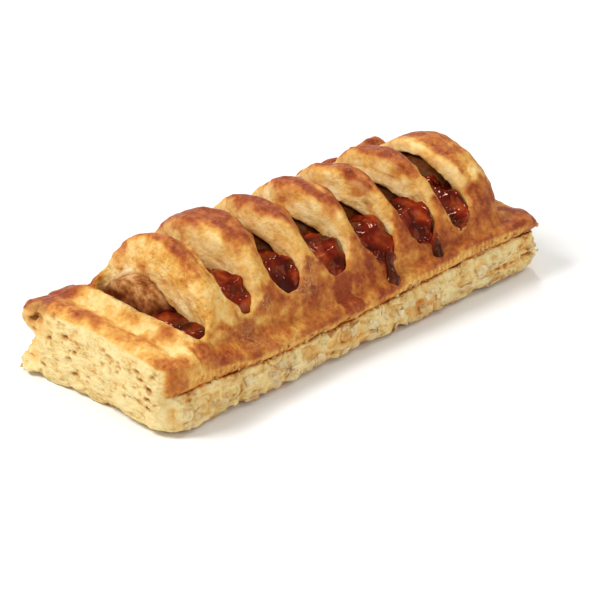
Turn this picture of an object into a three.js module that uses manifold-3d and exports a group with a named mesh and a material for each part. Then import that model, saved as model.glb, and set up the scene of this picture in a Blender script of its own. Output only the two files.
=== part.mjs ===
// A lattice-topped sausage roll: a sausage lies in a bed of tomato sauce between two sheets of puff
// pastry. The lower sheet is a flat slab. The upper sheet, the lid, is pressed onto it along both long
// sides, stands up over the sausage as a rounded dome, and is cut across by seven slits, which opened
// in the oven into seven fat ribs. Both sheets puffed most at the two cut ends.
//
// Frame: +X runs along the roll from its high near end to its low far end, +Y goes across it, and +Z
// is up. The origin is on the table under the middle of the roll. All sizes are millimetres.
import * as THREE from "three";
import { mergeVertices } from "three/addons/utils/BufferGeometryUtils.js";
import Module from "manifold-3d";

// ---------------------------------------------------------------- driving dimensions
const LENGTH = 160;
const WIDTH = 64;
const CORNER_RADIUS = 2.6;
const NEAR_CORNER_RADIUS = 7; // the corner at -X -Y is the roundest
const NEAR_CORNER_STRETCH = 1.8; // how far the corner at -X +Y is drawn out along the roll
const NEAR_CORNER_FROM_X = [-68, -80]; // the drawing out grows between these two places
const EDGE_WANDER = 0.6; // how far the outline wanders in and out
const END_WANDER_DEPTH = 8; // how far inwards from an end the wandering reaches
const SIDE_WANDER_DEPTH = 5; // and from a long edge
const SHEET_GAP = 0.4; // clearance kept between neighbouring pieces

const SEAM_BED = 9.2; // height of the seam between the sheets, under the filling
const SEAM_MID_RISE = 2.3; // how much higher the seam is at the pressed long edge, mid-length
const SEAM_END_RISE = 5.2; // the same, at the two ends
const SEAM_LOW_X = -18; // where along the roll the long edge is lowest
const SEAM_RISE_LENGTH = 70; // distance from there to where it is highest
const SEAM_RISE_POWER = 4; // how late, going outwards, the seam starts to rise

const NEAR_PLATEAU = 25.2; // lid height on the flat near end
const SIDE_PLATEAU = 19.8; // lid height at the foot of the dome
const FAR_PLATEAU = 20.6; // lid height on the flat far end
const PRESSED_THICKNESS = 4.0; // lid along the long edges, mid-length
const NEAR_EDGE_THICKNESS = 8.0; // the same, at the near end
const FAR_EDGE_THICKNESS = 5.4; // the same, at the far end
const FLANGE_RISE_WIDTH = 12; // the lid climbs from its pressed edge to the plateau over this width
const NEAR_PLATEAU_FROM_X = [-50, -66]; // the lid reaches its height at an end between these places
const FAR_PLATEAU_FROM_X = [58, 78];
const NEAR_THICKNESS_FROM_X = [-46, -72]; // the same for its pressed thickness
const FAR_THICKNESS_FROM_X = [0, 50];
const FLANGE_LUMPS = 0.5; // unevenness of the flat parts
const FLANGE_LUMP_SIZE = 7;

const BACK_EDGE_CURL = 8.4; // how far the +Y edge curls up on the far half
const CURL_FROM_X = [-30, 26]; // the curl grows between these places
const CURL_UNTIL_X = [80, 70]; // and is gone again between these
const CURL_FROM_Y = [20, 30];
const BACK_EDGE_BUMP = 2.4; // how much further the edge curls at one place
const BACK_EDGE_BUMP_X = 68;
const BACK_EDGE_BUMP_SIZE = 5;

const LIP_HEIGHT = 1.1; // the crust stands up in a lip just before the first slit
const LIP_X = -64;
const LIP_SIZE = 4;
const VALLEY_DEPTH = 1.6; // and sinks to a valley before the lip
const VALLEY_X = -69.5;
const VALLEY_SIZE = 3.5;
const NEAR_EDGE_ROLL = 0.6; // how much the crust rolls down at the cut ends
const NEAR_EDGE_ROLL_X = [-76, -81];
const FAR_EDGE_ROLL = 1.6;
const FAR_EDGE_ROLL_X = [75, 81];

const DOME_TOP = 41.8; // lid height on the crest, before the ribs swell
const DOME_SPRING = 12; // height from which the dome's half ellipse springs
const DOME_NEAR_HALF_WIDTH = 28;
const DOME_FAR_HALF_WIDTH = 27.4;
const DOME_FAR_HALF_WIDTH_AT_FIRST_RIB = 24.8;
const DOME_WIDENS_FROM_X = [-54, -34];
const DOME_NOSE_START = 57; // from here on, the far end of the dome rounds down
const DOME_NOSE_LENGTH = 15.5;
const DOME_NOSE_FULLNESS = 5;
const DOME_FILLET = 3.4; // softness of the join of dome and flange
const DOME_LUMPS = 0.4; // unevenness of the ribs
const DOME_LUMP_SIZE = 6;
const AXIS_Y_AT_MIDDLE = -0.6; // the filling lies a little askew on the sheet
const AXIS_TURN = -0.036;

const RIB_SWELL = 3.7; // extra height on the middle of each rib
const RIB_EDGE_DROP = 3.4; // how much the crust rolls down to the edge of a slit
const RIB_NEAR_RADIUS = 3.6; // over this width on a rib's -X side
const RIB_FAR_RADIUS = 6.4; // and over this width on its +X side
const LAST_RIB_ROLL = 0.3; // share of the roll that the last rib's -X edge has
const RIB_SWELL_FADES = [27, 15]; // distances from the dome's axis with no swell and with all of it
const NEAR_LIP_DROP = 1.2; // how much the flat near end rolls down to the first slit

const CAVITY_HALF_WIDTH = 21.8;
// Pairs of a place x and the height of its ceiling on the axis: it steps up in the slits.
const CAVITY_TOPS = [[-26, 33.4], [-17, 36], [46, 36], [52, 39.6]];
const CAVITY_FAR_X = 67;
const CAVITY_NOSE = 7; // length over which its far end rounds down
const LEAST_SAUCE_ROOM = 3; // where the cavity is lower than this, no sauce has run

const SAUSAGE_HALF_WIDTH = 12;
const SAUSAGE_HALF_HEIGHT = 10.6;
// Pairs of a place x and the height of the sausage's axis: its far end lies high on the sauce.
const SAUSAGE_HEIGHTS = [[-30, 21.6], [5, 24], [38, 24], [60, 28.4]];
const SAUSAGE_NEAR_X = -61.2;
const SAUSAGE_FAR_X = 60.5;
const SAUSAGE_NEAR_ROUNDING = 3; // its near end was cut, its far end is tied
const SAUSAGE_FAR_ROUNDING = 7;
const SAUSAGE_ASIDE = 3.8; // how far its near end lies off the axis of the dome, towards +Y
const SAUSAGE_ASIDE_FROM_X = [-10, -60];
const SAUSAGE_LUMPS = 0.02; // share by which its girth varies
const SAUSAGE_LUMP_SIZE = 8;

const SAUCE_DEPTH_IN_SLIT = 2.4; // the sauce stands this far below the crust of the ribs
const SAUCE_LEVEL = 33; // and nowhere higher than this
const SAUCE_LEVEL_AT_FIRST_SLIT = 24.4;
const SAUCE_CLEAR_OF_CUT = 0.9; // its distance from the cut faces of a slit
const SAUCE_CLEAR_OF_LID = 1.2; // and from the underside of the ribs
const SAUCE_WELL = 10.5; // half width of the clear space over the sausage
const SAUCE_WELL_WALL = 2; // over this width the sauce rises to its level
const SAUCE_END_SHARE = 0.1; // where it ends, as a share of the way from the last slit to the far end

// The seven slits, from the near end. x is the middle of the slit on the crest, lean how much further
// along the roll its -Y tip lies, gape its widest opening and throat its opening over the crest. near
// and far are how far it reaches from the axis of the dome, and swell is the height of the rib after it.
const SLITS = [
  { x: -58.9, lean: 1.2, gape: 5.8, throat: 5.6, near: 24.6, far: 20.0, swell: 1.0 },
  { x: -43.8, lean: 3.4, gape: 9.8, throat: 4.6, near: 24.2, far: 21.0, swell: 1.1 },
  { x: -21.5, lean: -0.2, gape: 10.6, throat: 4.8, near: 24.0, far: 22.0, swell: 1.1 },
  { x: -4.9, lean: 2.6, gape: 12.2, throat: 5.0, near: 24.0, far: 21.5, swell: 1.1 },
  { x: 13.6, lean: 3.2, gape: 12.6, throat: 5.0, near: 25.2, far: 22.0, swell: 1.0 },
  { x: 30.8, lean: 3.4, gape: 12.2, throat: 5.4, near: 25.0, far: 21.5, swell: 1.05 },
  { x: 48.8, lean: 1.6, gape: 10.6, throat: 6.8, near: 24.6, far: 21.5, swell: 0.45 },
];
const LEAN_BEYOND_CREST = 0.4; // beyond the crest a slit leans on by this share
const SLIT_END_OPENING = 0.74; // a slit's end is this share of its gape, so that it is round
const SLIT_END_ROUND = 1.7; // and its middle reaches this much further
// These three are shares of the way from the axis of the dome to the end of a slit.
const GAPE_GROWS = [0.15, 0.76]; // the throat widens to the gape
const SLIT_END_NARROWS = [0.84, 1]; // the gape narrows to the slit's end
const RIB_ROLL_FADES = [0.9, 1.15]; // the crust stops rolling down to the slit

// The edges of the sheets. A bulge is how far a cut edge stands out from the outline.
const SLIT_FACE_BULGE = -0.35; // the faces of the slits are a little hollow
const JOINED_FROM_X = [-72, -77]; // at the near end both sheets baked together into one cut face
const JOINED_TO_Y = [28, 22]; // but for its +Y corner
const JOINED_FROM_Y = [-31.5, -29];
const END_FACE_PUFF = 1.1; // how far that face stands out at half height
const END_FACE_FULLNESS = 0.7; // under 1 makes it fuller
const LID_TUCK = -1.2; // the lid draws in at the seam
const LID_TUCK_AT_CORNER = -2.6; // most at the corner at -X +Y
const LID_SIDE_PUFF = 0.3; // and stands out above it
const LID_END_PUFF = 1.3;
const LID_END_PUFF_DEPTHS = [10, 2]; // the puff grows between these distances from an end
const LID_ROUGHNESS = 0.45;
const LID_ROUGHNESS_SIZE = 2.1;
const BASE_FLARE = 1.5; // the base stands out below the seam
const BASE_FLARE_AT_CORNER = 2.6;
const BASE_FLARE_SHIFT = 0.8; // under 1 puts the widest place lower down
const BASE_FLARE_SHIFT_AT_CORNER = 0.45;
const BASE_TOP_TUCK = -0.8; // it draws in at the seam
const BASE_TOP_TUCK_AT_CORNER = -3;
const BASE_FOOT_TUCK = -1.1; // and under its foot
const BASE_FOOT_TUCK_AT_CORNER = 0.4;
const BASE_ROUGHNESS = 0.7;
const BASE_ROUGHNESS_SIZE = 2.4;
const LAYER_SHIFT = 11; // the roughness differs from layer to layer by this much of a walk along it
const CORNER_FROM_X = [-60, -76]; // where that corner begins
const CORNER_FROM_Y = [10, 28];

// ---------------------------------------------------------------- how finely the faces are cut
const RIB_STATIONS = [0.14, 0.36, 0.62, 0.84]; // grid lines on a rib, as shares of its width
const NEAR_END_STATIONS = [0, 0.24, 0.5, 0.74, 0.9];
const FAR_END_STATIONS = [0.1, 0.26, 0.42, 0.58, 0.72, 0.86, 1];
const FLANGE_ROWS = 3;
const DOME_ROWS = 14;
const BASE_COLUMNS = 36;
const BASE_ROWS = 12;
const WALL_ROWS = 4;
const SLIT_WALL_ROWS = 2;
const SAUSAGE_STATIONS = 26;
const SAUSAGE_SIDES = 20;
const OUTER_BAND_AT_ENDS = 4; // a wall this close to the outline is an outer edge, not a slit's face
const OUTER_BAND_AT_SIDES = 3;
const MERGE_DISTANCE = 1e-4;

// ---------------------------------------------------------------- small helpers
const { clamp, lerp } = THREE.MathUtils;

// 0 before from, 1 past to, and smooth between them, whichever of the two is larger.
function ease(from, to, value) {
  const t = clamp((value - from) / (to - from), 0, 1);
  return t * t * (3 - 2 * t);
}

const HALF_LENGTH = LENGTH / 2;
const HALF_WIDTH = WIDTH / 2;

// A smooth, repeatable unevenness from -1 to 1 over bumps of the given size.
function wander(x, y, size, seed) {
  const a = Math.sin((x * 1.0 + y * 0.31) / size + seed * 1.7);
  const b = Math.sin((x * 0.43 - y * 1.13) / size + seed * 3.1 + 1.3);
  const c = Math.sin((x * 1.61 + y * 0.87) / size + seed * 5.3 + 2.6);
  return (a + b + c) / 3;
}

// The value at x of a table of [x, value] pairs, with a smooth step from each pair to the next.
function stepAlong(table, x) {
  let value = table[0][1];
  for (let n = 1; n < table.length; n++) {
    const [[fromX, before], [toX, after]] = [table[n - 1], table[n]];
    value += (after - before) * ease(fromX, toX, x);
  }
  return value;
}

// The larger of two heights, with a soft hollow of the given size where they meet.
function softMax(a, b, size) {
  const h = clamp(0.5 + (0.5 * (a - b)) / size, 0, 1);
  return lerp(b, a, h) + size * h * (1 - h);
}

const interpolateSlits = (x, key) => {
  if (x <= SLITS[0].x) return SLITS[0][key];
  for (let k = 1; k < SLITS.length; k++) {
    const [a, b] = [SLITS[k - 1], SLITS[k]];
    if (x <= b.x) return lerp(a[key], b[key], (x - a.x) / (b.x - a.x));
  }
  return SLITS[SLITS.length - 1][key];
};

// ---------------------------------------------------------------- the form of the two sheets
const axisY = (x) => AXIS_Y_AT_MIDDLE + AXIS_TURN * x;

// Height of the seam between base and lid.
function seam(x, y) {
  const towardsEnds = ease(0, SEAM_RISE_LENGTH, Math.abs(x - SEAM_LOW_X));
  const rise = lerp(SEAM_MID_RISE, SEAM_END_RISE, towardsEnds);
  return SEAM_BED + rise * Math.min(1, Math.abs(y) / HALF_WIDTH) ** SEAM_RISE_POWER;
}

// A smooth bump of height 1 around the middle.
const hump = (value, middle, size) => Math.exp(-(((value - middle) / size) ** 2));

// Top of the lid where there is no dome.
function flange(x, y) {
  const nearEnd = ease(...NEAR_PLATEAU_FROM_X, x);
  let plateau = lerp(SIDE_PLATEAU, NEAR_PLATEAU, nearEnd);
  plateau = lerp(plateau, FAR_PLATEAU, ease(...FAR_PLATEAU_FROM_X, x));
  let thickness = lerp(PRESSED_THICKNESS, NEAR_EDGE_THICKNESS, ease(...NEAR_THICKNESS_FROM_X, x));
  thickness = lerp(thickness, FAR_EDGE_THICKNESS, ease(...FAR_THICKNESS_FROM_X, x));
  const pressed = seam(x, HALF_WIDTH) + thickness;
  const inwards = clamp((HALF_WIDTH - Math.abs(y)) / FLANGE_RISE_WIDTH, 0, 1);
  const climbed = 1 - (1 - inwards) ** 2;
  const curlHeight = BACK_EDGE_CURL + BACK_EDGE_BUMP * hump(x, BACK_EDGE_BUMP_X, BACK_EDGE_BUMP_SIZE);
  const curl = curlHeight * ease(...CURL_FROM_X, x) * ease(...CURL_UNTIL_X, x) * ease(...CURL_FROM_Y, y);
  const lip = LIP_HEIGHT * hump(x, LIP_X, LIP_SIZE) - VALLEY_DEPTH * hump(x, VALLEY_X, VALLEY_SIZE);
  const rolled = NEAR_EDGE_ROLL * ease(...NEAR_EDGE_ROLL_X, x) + FAR_EDGE_ROLL * ease(...FAR_EDGE_ROLL_X, x);
  const uneven = FLANGE_LUMPS * wander(x, y, FLANGE_LUMP_SIZE, 2);
  return lerp(pressed, plateau, climbed) + curl + (lip * nearEnd + uneven) * climbed - rolled;
}

// The smooth dome over the filling, without slits.
function dome(x, y) {
  const dy = y - axisY(x);
  const widened = ease(...DOME_WIDENS_FROM_X, x);
  const far = lerp(DOME_FAR_HALF_WIDTH_AT_FIRST_RIB, DOME_FAR_HALF_WIDTH, widened);
  const across = dy / (dy < 0 ? DOME_NEAR_HALF_WIDTH : far);
  const along = Math.max(0, x - DOME_NOSE_START) / DOME_NOSE_LENGTH;
  const inside = 1 - across ** 2 - along ** DOME_NOSE_FULLNESS;
  return DOME_SPRING + (DOME_TOP - DOME_SPRING) * Math.sqrt(Math.max(0, inside));
}

// Middle line and opening of slit k at a place across the roll.
function slitAt(k, y) {
  const slit = SLITS[k];
  const dy = y - axisY(slit.x);
  const reach = dy < 0 ? slit.near : slit.far;
  const share = Math.abs(dy) / reach;
  const widening = lerp(slit.throat, slit.gape, ease(...GAPE_GROWS, share));
  const opening = widening * lerp(1, SLIT_END_OPENING, ease(...SLIT_END_NARROWS, share));
  const middle = slit.x + slit.lean * share * (dy < 0 ? 1 : -LEAN_BEYOND_CREST);
  return { middle, opening, open: 1 - ease(...RIB_ROLL_FADES, share) };
}

// How far the crust has rolled down at (x, y) because of the slits beside it, and how far it swells.
function ribForm(x, y) {
  let drop = 0;
  let swell = 1;
  for (let k = 0; k < SLITS.length; k++) {
    const { middle, opening, open } = slitAt(k, y);
    const away = Math.max(0, Math.abs(x - middle) - opening / 2);
    const radius = x < middle ? RIB_FAR_RADIUS : RIB_NEAR_RADIUS;
    const short = 1 - Math.min(1, away / radius);
    const rolls = k === SLITS.length - 1 && x > middle ? LAST_RIB_ROLL : 1;
    drop = Math.max(drop, (1 - Math.sqrt(1 - short * short)) * open * rolls);
    if (x > middle) swell = SLITS[k].swell;
  }
  return { drop, swell };
}

// Top of the lid. Past the first slit the dome stands up; before it there is only the flat near end.
function lidTop(x, y, beforeFirstSlit) {
  const flat = flange(x, y);
  const { drop, swell } = ribForm(x, y);
  if (beforeFirstSlit) return flat - NEAR_LIP_DROP * drop;
  const bulge = RIB_SWELL * swell * (1 - drop) - RIB_EDGE_DROP * drop;
  const onDome = ease(...RIB_SWELL_FADES, Math.abs(y - axisY(x)));
  const uneven = DOME_LUMPS * wander(x, y, DOME_LUMP_SIZE, 5);
  return softMax(flat, dome(x, y) + bulge * onDome + uneven, DOME_FILLET);
}

// Ceiling of the space for the filling.
function cavity(x, y) {
  const across = (y - axisY(x)) / CAVITY_HALF_WIDTH;
  const nose = Math.max(0, x - (CAVITY_FAR_X - CAVITY_NOSE)) / CAVITY_NOSE;
  const inside = 1 - across * across - nose * nose;
  return SEAM_BED + (stepAlong(CAVITY_TOPS, x) - SEAM_BED) * Math.sqrt(Math.max(0, inside));
}

// Underside of the lid: the seam, raised over the filling. The flat near end has no filling.
function lidBottom(x, y, beforeFirstSlit) {
  const flat = seam(x, y) + SHEET_GAP / 2;
  return beforeFirstSlit ? flat : Math.max(flat, cavity(x, y));
}

// ---------------------------------------------------------------- outline in plan
// Turns a rectangle's corners round, draws one of them out, and lets the outline wander.
function outline(x, y) {
  const atEnd = ease(HALF_LENGTH - END_WANDER_DEPTH, HALF_LENGTH, Math.abs(x));
  const atSide = ease(HALF_WIDTH - SIDE_WANDER_DEPTH, HALF_WIDTH, Math.abs(y));
  const drawnOut = NEAR_CORNER_STRETCH * ease(...NEAR_CORNER_FROM_X, x) * ease(0, HALF_WIDTH, y);
  let px = x + Math.sign(x) * EDGE_WANDER * wander(y, x, 8, 1) * atEnd;
  let py = y + Math.sign(y) * EDGE_WANDER * wander(x, y, 9, 4) * atSide;
  const radius = x < 0 && y < 0 ? NEAR_CORNER_RADIUS : CORNER_RADIUS;
  const dx = Math.abs(px) - (HALF_LENGTH - radius);
  const dy = Math.abs(py) - (HALF_WIDTH - radius);
  if (dx > 0 && dy > 0) {
    const pull = Math.max(dx, dy) / Math.hypot(dx, dy);
    px = Math.sign(px) * (HALF_LENGTH - radius + dx * pull);
    py = Math.sign(py) * (HALF_WIDTH - radius + dy * pull);
  }
  return new THREE.Vector2(px - drawnOut, py);
}

// ---------------------------------------------------------------- a solid on a grid
// Builds one closed solid from a grid of plan points. Cells for which filled() is false are left out,
// and a wall closes every edge. place(i, j) gives the plan point, top and bottom the heights, and
// bulge(x, y, t) how far the wall stands out at the share t of its height. A wall inside the grid may
// be cut into fewer rows than the outer one.
function slab({ columns, rows, filled, place, top, bottom, bulge, wallRows, innerWallRows = 1 }) {
  const positions = [];
  const triangles = [];
  const made = new Map();
  const full = (i, j) => i >= 0 && j >= 0 && i < columns && j < rows && filled(i, j);
  const outwards = (i, j) => {
    const out = new THREE.Vector2();
    for (const a of [-1, 1])
      for (const b of [-1, 1])
        if (!full(i + (a - 1) / 2, j + (b - 1) / 2)) out.add(new THREE.Vector2(a, b));
    return out.lengthSq() > 0 ? out.normalize() : out;
  };
  const vertex = (i, j, t) => {
    const key = `${i} ${j} ${t}`;
    if (!made.has(key)) {
      const p = place(i, j);
      const out = outwards(i, j);
      const offset = out.lengthSq() > 0 ? bulge(p.x, p.y, t, i, j) : 0;
      const [x, y] = [p.x + out.x * offset, p.y + out.y * offset];
      made.set(key, positions.length / 3);
      positions.push(x, y, lerp(bottom(x, y, i, j), top(x, y, i, j), t));
    }
    return made.get(key);
  };
  const quad = (a, b, c, d) => triangles.push(a, b, c, a, c, d);
  const outer = (i, j) => i === 0 || j === 0 || i === columns || j === rows;
  const wall = (i0, j0, i1, j1) => {
    const steps = outer(i0, j0) && outer(i1, j1) ? wallRows : innerWallRows;
    for (let step = 0; step < steps; step++) {
      const [low, high] = [step / steps, (step + 1) / steps];
      quad(vertex(i0, j0, low), vertex(i1, j1, low), vertex(i1, j1, high), vertex(i0, j0, high));
    }
  };
  for (let i = 0; i < columns; i++) {
    for (let j = 0; j < rows; j++) {
      if (!full(i, j)) continue;
      const corners = [[i, j], [i + 1, j], [i + 1, j + 1], [i, j + 1]];
      quad(...corners.map(([a, b]) => vertex(a, b, 1)));
      quad(...corners.reverse().map(([a, b]) => vertex(a, b, 0)));
      if (!full(i, j - 1)) wall(i, j, i + 1, j);
      if (!full(i + 1, j)) wall(i + 1, j, i + 1, j + 1);
      if (!full(i, j + 1)) wall(i + 1, j + 1, i, j + 1);
      if (!full(i - 1, j)) wall(i, j + 1, i, j);
    }
  }
  const geometry = new THREE.BufferGeometry();
  geometry.setAttribute("position", new THREE.Float32BufferAttribute(positions, 3));
  geometry.setIndex(triangles);
  geometry.computeVertexNormals();
  return geometry;
}

// ---------------------------------------------------------------- grid lines of lid and sauce
// Each grid line is fixed to the slits: it runs beside a slit, along its middle, or over a rib.
// inset is how far inside the slit's edge it runs.
const ROWS = 2 * FLANGE_ROWS + DOME_ROWS;
const FIRST_TIP = FLANGE_ROWS;
const LAST_TIP = FLANGE_ROWS + DOME_ROWS;
const ROW_CROWDING = 1.36; // crowds the rows towards the steep foot of the dome, in radians

function lineX(line) {
  if (line.kind === "near end") return lerp(-HALF_LENGTH, SLITS[0].x, line.share);
  const here = SLITS[line.k].x;
  if (line.kind === "slit") return here;
  const next = line.k < SLITS.length - 1 ? SLITS[line.k + 1].x : HALF_LENGTH;
  return lerp(here, next, line.share);
}

function rowY(line, j) {
  const x = lineX(line);
  const inset = line.inset ?? 0;
  const round = line.kind === "slit" && line.side === 0 ? SLIT_END_ROUND : 0;
  const near = axisY(x) - interpolateSlits(x, "near") - round + inset;
  const far = axisY(x) + interpolateSlits(x, "far") + round - inset;
  if (j <= FIRST_TIP) return lerp(-HALF_WIDTH, near, j / FLANGE_ROWS);
  if (j >= LAST_TIP) return lerp(far, HALF_WIDTH, (j - LAST_TIP) / FLANGE_ROWS);
  const turn = ((j - FIRST_TIP) / DOME_ROWS) * 2 - 1;
  const share = Math.sin(turn * ROW_CROWDING) / Math.sin(ROW_CROWDING);
  return axisY(x) + share * (share < 0 ? axisY(x) - near : far - axisY(x));
}

// The plan point where a grid line meets row j.
function gridPoint(line, j) {
  const y = rowY(line, j);
  const edge = (k, side, inset = 0) => {
    const { middle, opening } = slitAt(k, y);
    return middle + side * (opening / 2 - inset);
  };
  if (line.kind === "slit") return new THREE.Vector2(edge(line.k, line.side, line.inset), y);
  const from = line.kind === "near end" ? -HALF_LENGTH : edge(line.k, 1);
  const last = line.k === SLITS.length - 1;
  const to = line.kind === "near end" ? edge(0, -1) : last ? HALF_LENGTH : edge(line.k + 1, -1);
  return new THREE.Vector2(lerp(from, to, line.share), y);
}

// ---------------------------------------------------------------- the four pieces
const atDrawnCorner = (x, y) => ease(...CORNER_FROM_Y, y) * ease(...CORNER_FROM_X, x);
const isOuter = (x, y) =>
  Math.abs(x) > HALF_LENGTH - OUTER_BAND_AT_ENDS || Math.abs(y) > HALF_WIDTH - OUTER_BAND_AT_SIDES;
const midWall = (t) => (t > 0 && t < 1 ? 1 : 0);
const joined = (x, y) => ease(...JOINED_FROM_X, x) * ease(...JOINED_TO_Y, y) * ease(...JOINED_FROM_Y, y);

function endFace(z) {
  const share = Math.min(1, Math.max(0, z / NEAR_PLATEAU));
  return END_FACE_PUFF * Math.sin(Math.PI * share) ** END_FACE_FULLNESS;
}

// The lid's cut ends puff out above the seam and tuck in at it, most at the +Y corner of the near end.
function lidBulge(x, y, t) {
  if (!isOuter(x, y)) return SLIT_FACE_BULGE * midWall(t);
  const tuck = lerp(LID_TUCK, LID_TUCK_AT_CORNER, atDrawnCorner(x, y));
  const atEnd = ease(...LID_END_PUFF_DEPTHS, HALF_LENGTH - Math.abs(x));
  const puff = lerp(LID_SIDE_PUFF, LID_END_PUFF, atEnd);
  const layer = LAYER_SHIFT * t;
  const rough = LID_ROUGHNESS * wander(x + layer, y - layer, LID_ROUGHNESS_SIZE, 6) * midWall(t);
  const ownSide = tuck * (1 - t) ** 2 + puff * Math.sin(Math.PI * t);
  return lerp(ownSide, endFace(lerp(seam(x, y), flange(x, y), t)), joined(x, y)) + rough;
}

function lid() {
  const lines = NEAR_END_STATIONS.map((share) => ({ kind: "near end", share }));
  SLITS.forEach((slit, k) => {
    for (const side of [-1, 0, 1]) lines.push({ kind: "slit", k, side });
    const stations = k < SLITS.length - 1 ? RIB_STATIONS : FAR_END_STATIONS;
    for (const share of stations) lines.push({ kind: "rib", k, share });
  });
  const inSlit = (i, j) => lines[i].kind === "slit" && lines[i].side < 1 && j >= FIRST_TIP && j < LAST_TIP;
  const beforeFirstSlit = (i) => i <= NEAR_END_STATIONS.length;
  return slab({
    columns: lines.length - 1,
    rows: ROWS,
    filled: (i, j) => !inSlit(i, j),
    place: (i, j) => {
      const { x, y } = gridPoint(lines[i], j);
      return outline(x, y);
    },
    top: (x, y, i) => lidTop(x, y, beforeFirstSlit(i)),
    bottom: (x, y, i) => lidBottom(x, y, beforeFirstSlit(i)),
    bulge: lidBulge,
    wallRows: WALL_ROWS,
    innerWallRows: SLIT_WALL_ROWS,
  });
}

// The base flares out below the seam, is flat underneath, and its cut layers stand out in rows.
function baseBulge(x, y, t) {
  const corner = atDrawnCorner(x, y);
  const shifted = t ** lerp(BASE_FLARE_SHIFT, BASE_FLARE_SHIFT_AT_CORNER, corner);
  const flare = lerp(BASE_FLARE, BASE_FLARE_AT_CORNER, corner) * Math.sin(Math.PI * shifted);
  const topTuck = lerp(BASE_TOP_TUCK, BASE_TOP_TUCK_AT_CORNER, corner) * t ** 3;
  const footTuck = lerp(BASE_FOOT_TUCK, BASE_FOOT_TUCK_AT_CORNER, corner) * (1 - t) ** 3;
  const layer = LAYER_SHIFT * t;
  const rough = BASE_ROUGHNESS * wander(x + layer, y + layer, BASE_ROUGHNESS_SIZE, 8) * midWall(t);
  return lerp(flare + topTuck + footTuck, endFace(t * seam(x, y)), joined(x, y)) + rough;
}

function base() {
  return slab({
    columns: BASE_COLUMNS,
    rows: BASE_ROWS,
    filled: () => true,
    place: (i, j) => {
      const x = ((2 * i) / BASE_COLUMNS - 1) * HALF_LENGTH;
      const y = ((2 * j) / BASE_ROWS - 1) * HALF_WIDTH;
      return outline(x, y);
    },
    top: (x, y) => seam(x, y) - SHEET_GAP / 2,
    bottom: () => 0,
    bulge: baseBulge,
    wallRows: WALL_ROWS,
  });
}

const sausageY = (x) => axisY(x) + SAUSAGE_ASIDE * ease(...SAUSAGE_ASIDE_FROM_X, x);
const sausageZ = (x) => stepAlong(SAUSAGE_HEIGHTS, x);

// A plump sausage with rounded ends, turned, pressed a little flat and laid under the dome.
function sausage(extra = 0) {
  const length = SAUSAGE_FAR_X - SAUSAGE_NEAR_X + 2 * extra;
  const profile = [];
  for (let n = 0; n <= SAUSAGE_STATIONS; n++) {
    const along = length * (0.5 - 0.5 * Math.cos((Math.PI * n) / SAUSAGE_STATIONS));
    const inwards = Math.min(along / SAUSAGE_NEAR_ROUNDING, (length - along) / SAUSAGE_FAR_ROUNDING);
    const short = 1 - Math.min(1, inwards);
    const radius = Math.sqrt(1 - short * short);
    profile.push(new THREE.Vector2(n % SAUSAGE_STATIONS ? radius : 0, along));
  }
  const geometry = new THREE.LatheGeometry(profile, SAUSAGE_SIDES);
  geometry.rotateZ(-Math.PI / 2).translate(SAUSAGE_NEAR_X - extra, 0, 0);
  const position = geometry.getAttribute("position");
  for (let n = 0; n < position.count; n++) {
    const [x, y, z] = [position.getX(n), position.getY(n), position.getZ(n)];
    const lumpy = 1 - SAUSAGE_LUMPS * (1 + wander(x, 0, SAUSAGE_LUMP_SIZE, 3));
    const halfWidth = SAUSAGE_HALF_WIDTH * lumpy + extra;
    const halfHeight = SAUSAGE_HALF_HEIGHT * lumpy + extra;
    position.setXYZ(n, x, sausageY(x) + y * halfWidth, sausageZ(x) + z * halfHeight);
  }
  geometry.computeVertexNormals();
  return geometry;
}

// The sauce fills the space under the dome and stands up between the ribs, before the sausage is
// pressed into it. Each slit has two grid lines a hair apart on each side, for the step up.
function sauceBed() {
  const lines = [];
  SLITS.forEach((slit, k) => {
    for (const side of [-1, 0, 1]) {
      const insets = side ? [SAUCE_CLEAR_OF_CUT / 2, SAUCE_CLEAR_OF_CUT] : [SAUCE_CLEAR_OF_CUT];
      if (side > 0) insets.reverse();
      for (const inset of insets) lines.push({ kind: "slit", k, side, inset });
    }
    const stations = k < SLITS.length - 1 ? RIB_STATIONS : [];
    for (const share of stations) lines.push({ kind: "rib", k, share });
  });
  lines.push({ kind: "rib", k: SLITS.length - 1, share: SAUCE_END_SHARE });
  const stands = (line) => line.kind === "slit" && line.inset === SAUCE_CLEAR_OF_CUT;
  const points = lines.map((line) => Array.from({ length: ROWS + 1 }, (_, j) => gridPoint(line, j)));
  const roomy = (i, j) => cavity(points[i][j].x, points[i][j].y) > SEAM_BED + LEAST_SAUCE_ROOM;
  const inSlitRows = (j) => j >= FIRST_TIP && j < LAST_TIP;
  return slab({
    columns: lines.length - 1,
    rows: ROWS,
    filled: (i, j) => {
      const hidden = roomy(i, j) && roomy(i + 1, j) && roomy(i, j + 1) && roomy(i + 1, j + 1);
      return inSlitRows(j) && ((stands(lines[i]) && stands(lines[i + 1])) || hidden);
    },
    place: (i, j) => points[i][j],
    top: (x, y, i) => {
      const highest = lines[i].k === 0 ? SAUCE_LEVEL_AT_FIRST_SLIT : SAUCE_LEVEL;
      const inSlit = Math.min(dome(x, y) - SAUCE_DEPTH_IN_SLIT, highest);
      const level = stands(lines[i]) ? inSlit : cavity(x, y) - SAUCE_CLEAR_OF_LID;
      const aside = Math.abs(y - sausageY(x));
      return lerp(sausageZ(x), level, ease(SAUCE_WELL - SAUCE_WELL_WALL, SAUCE_WELL, aside));
    },
    bottom: (x, y) => seam(x, y) + SHEET_GAP / 2,
    bulge: () => 0,
    wallRows: 1,
  });
}

// ---------------------------------------------------------------- cutting one piece to another
const wasm = await Module();
wasm.setup();

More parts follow.
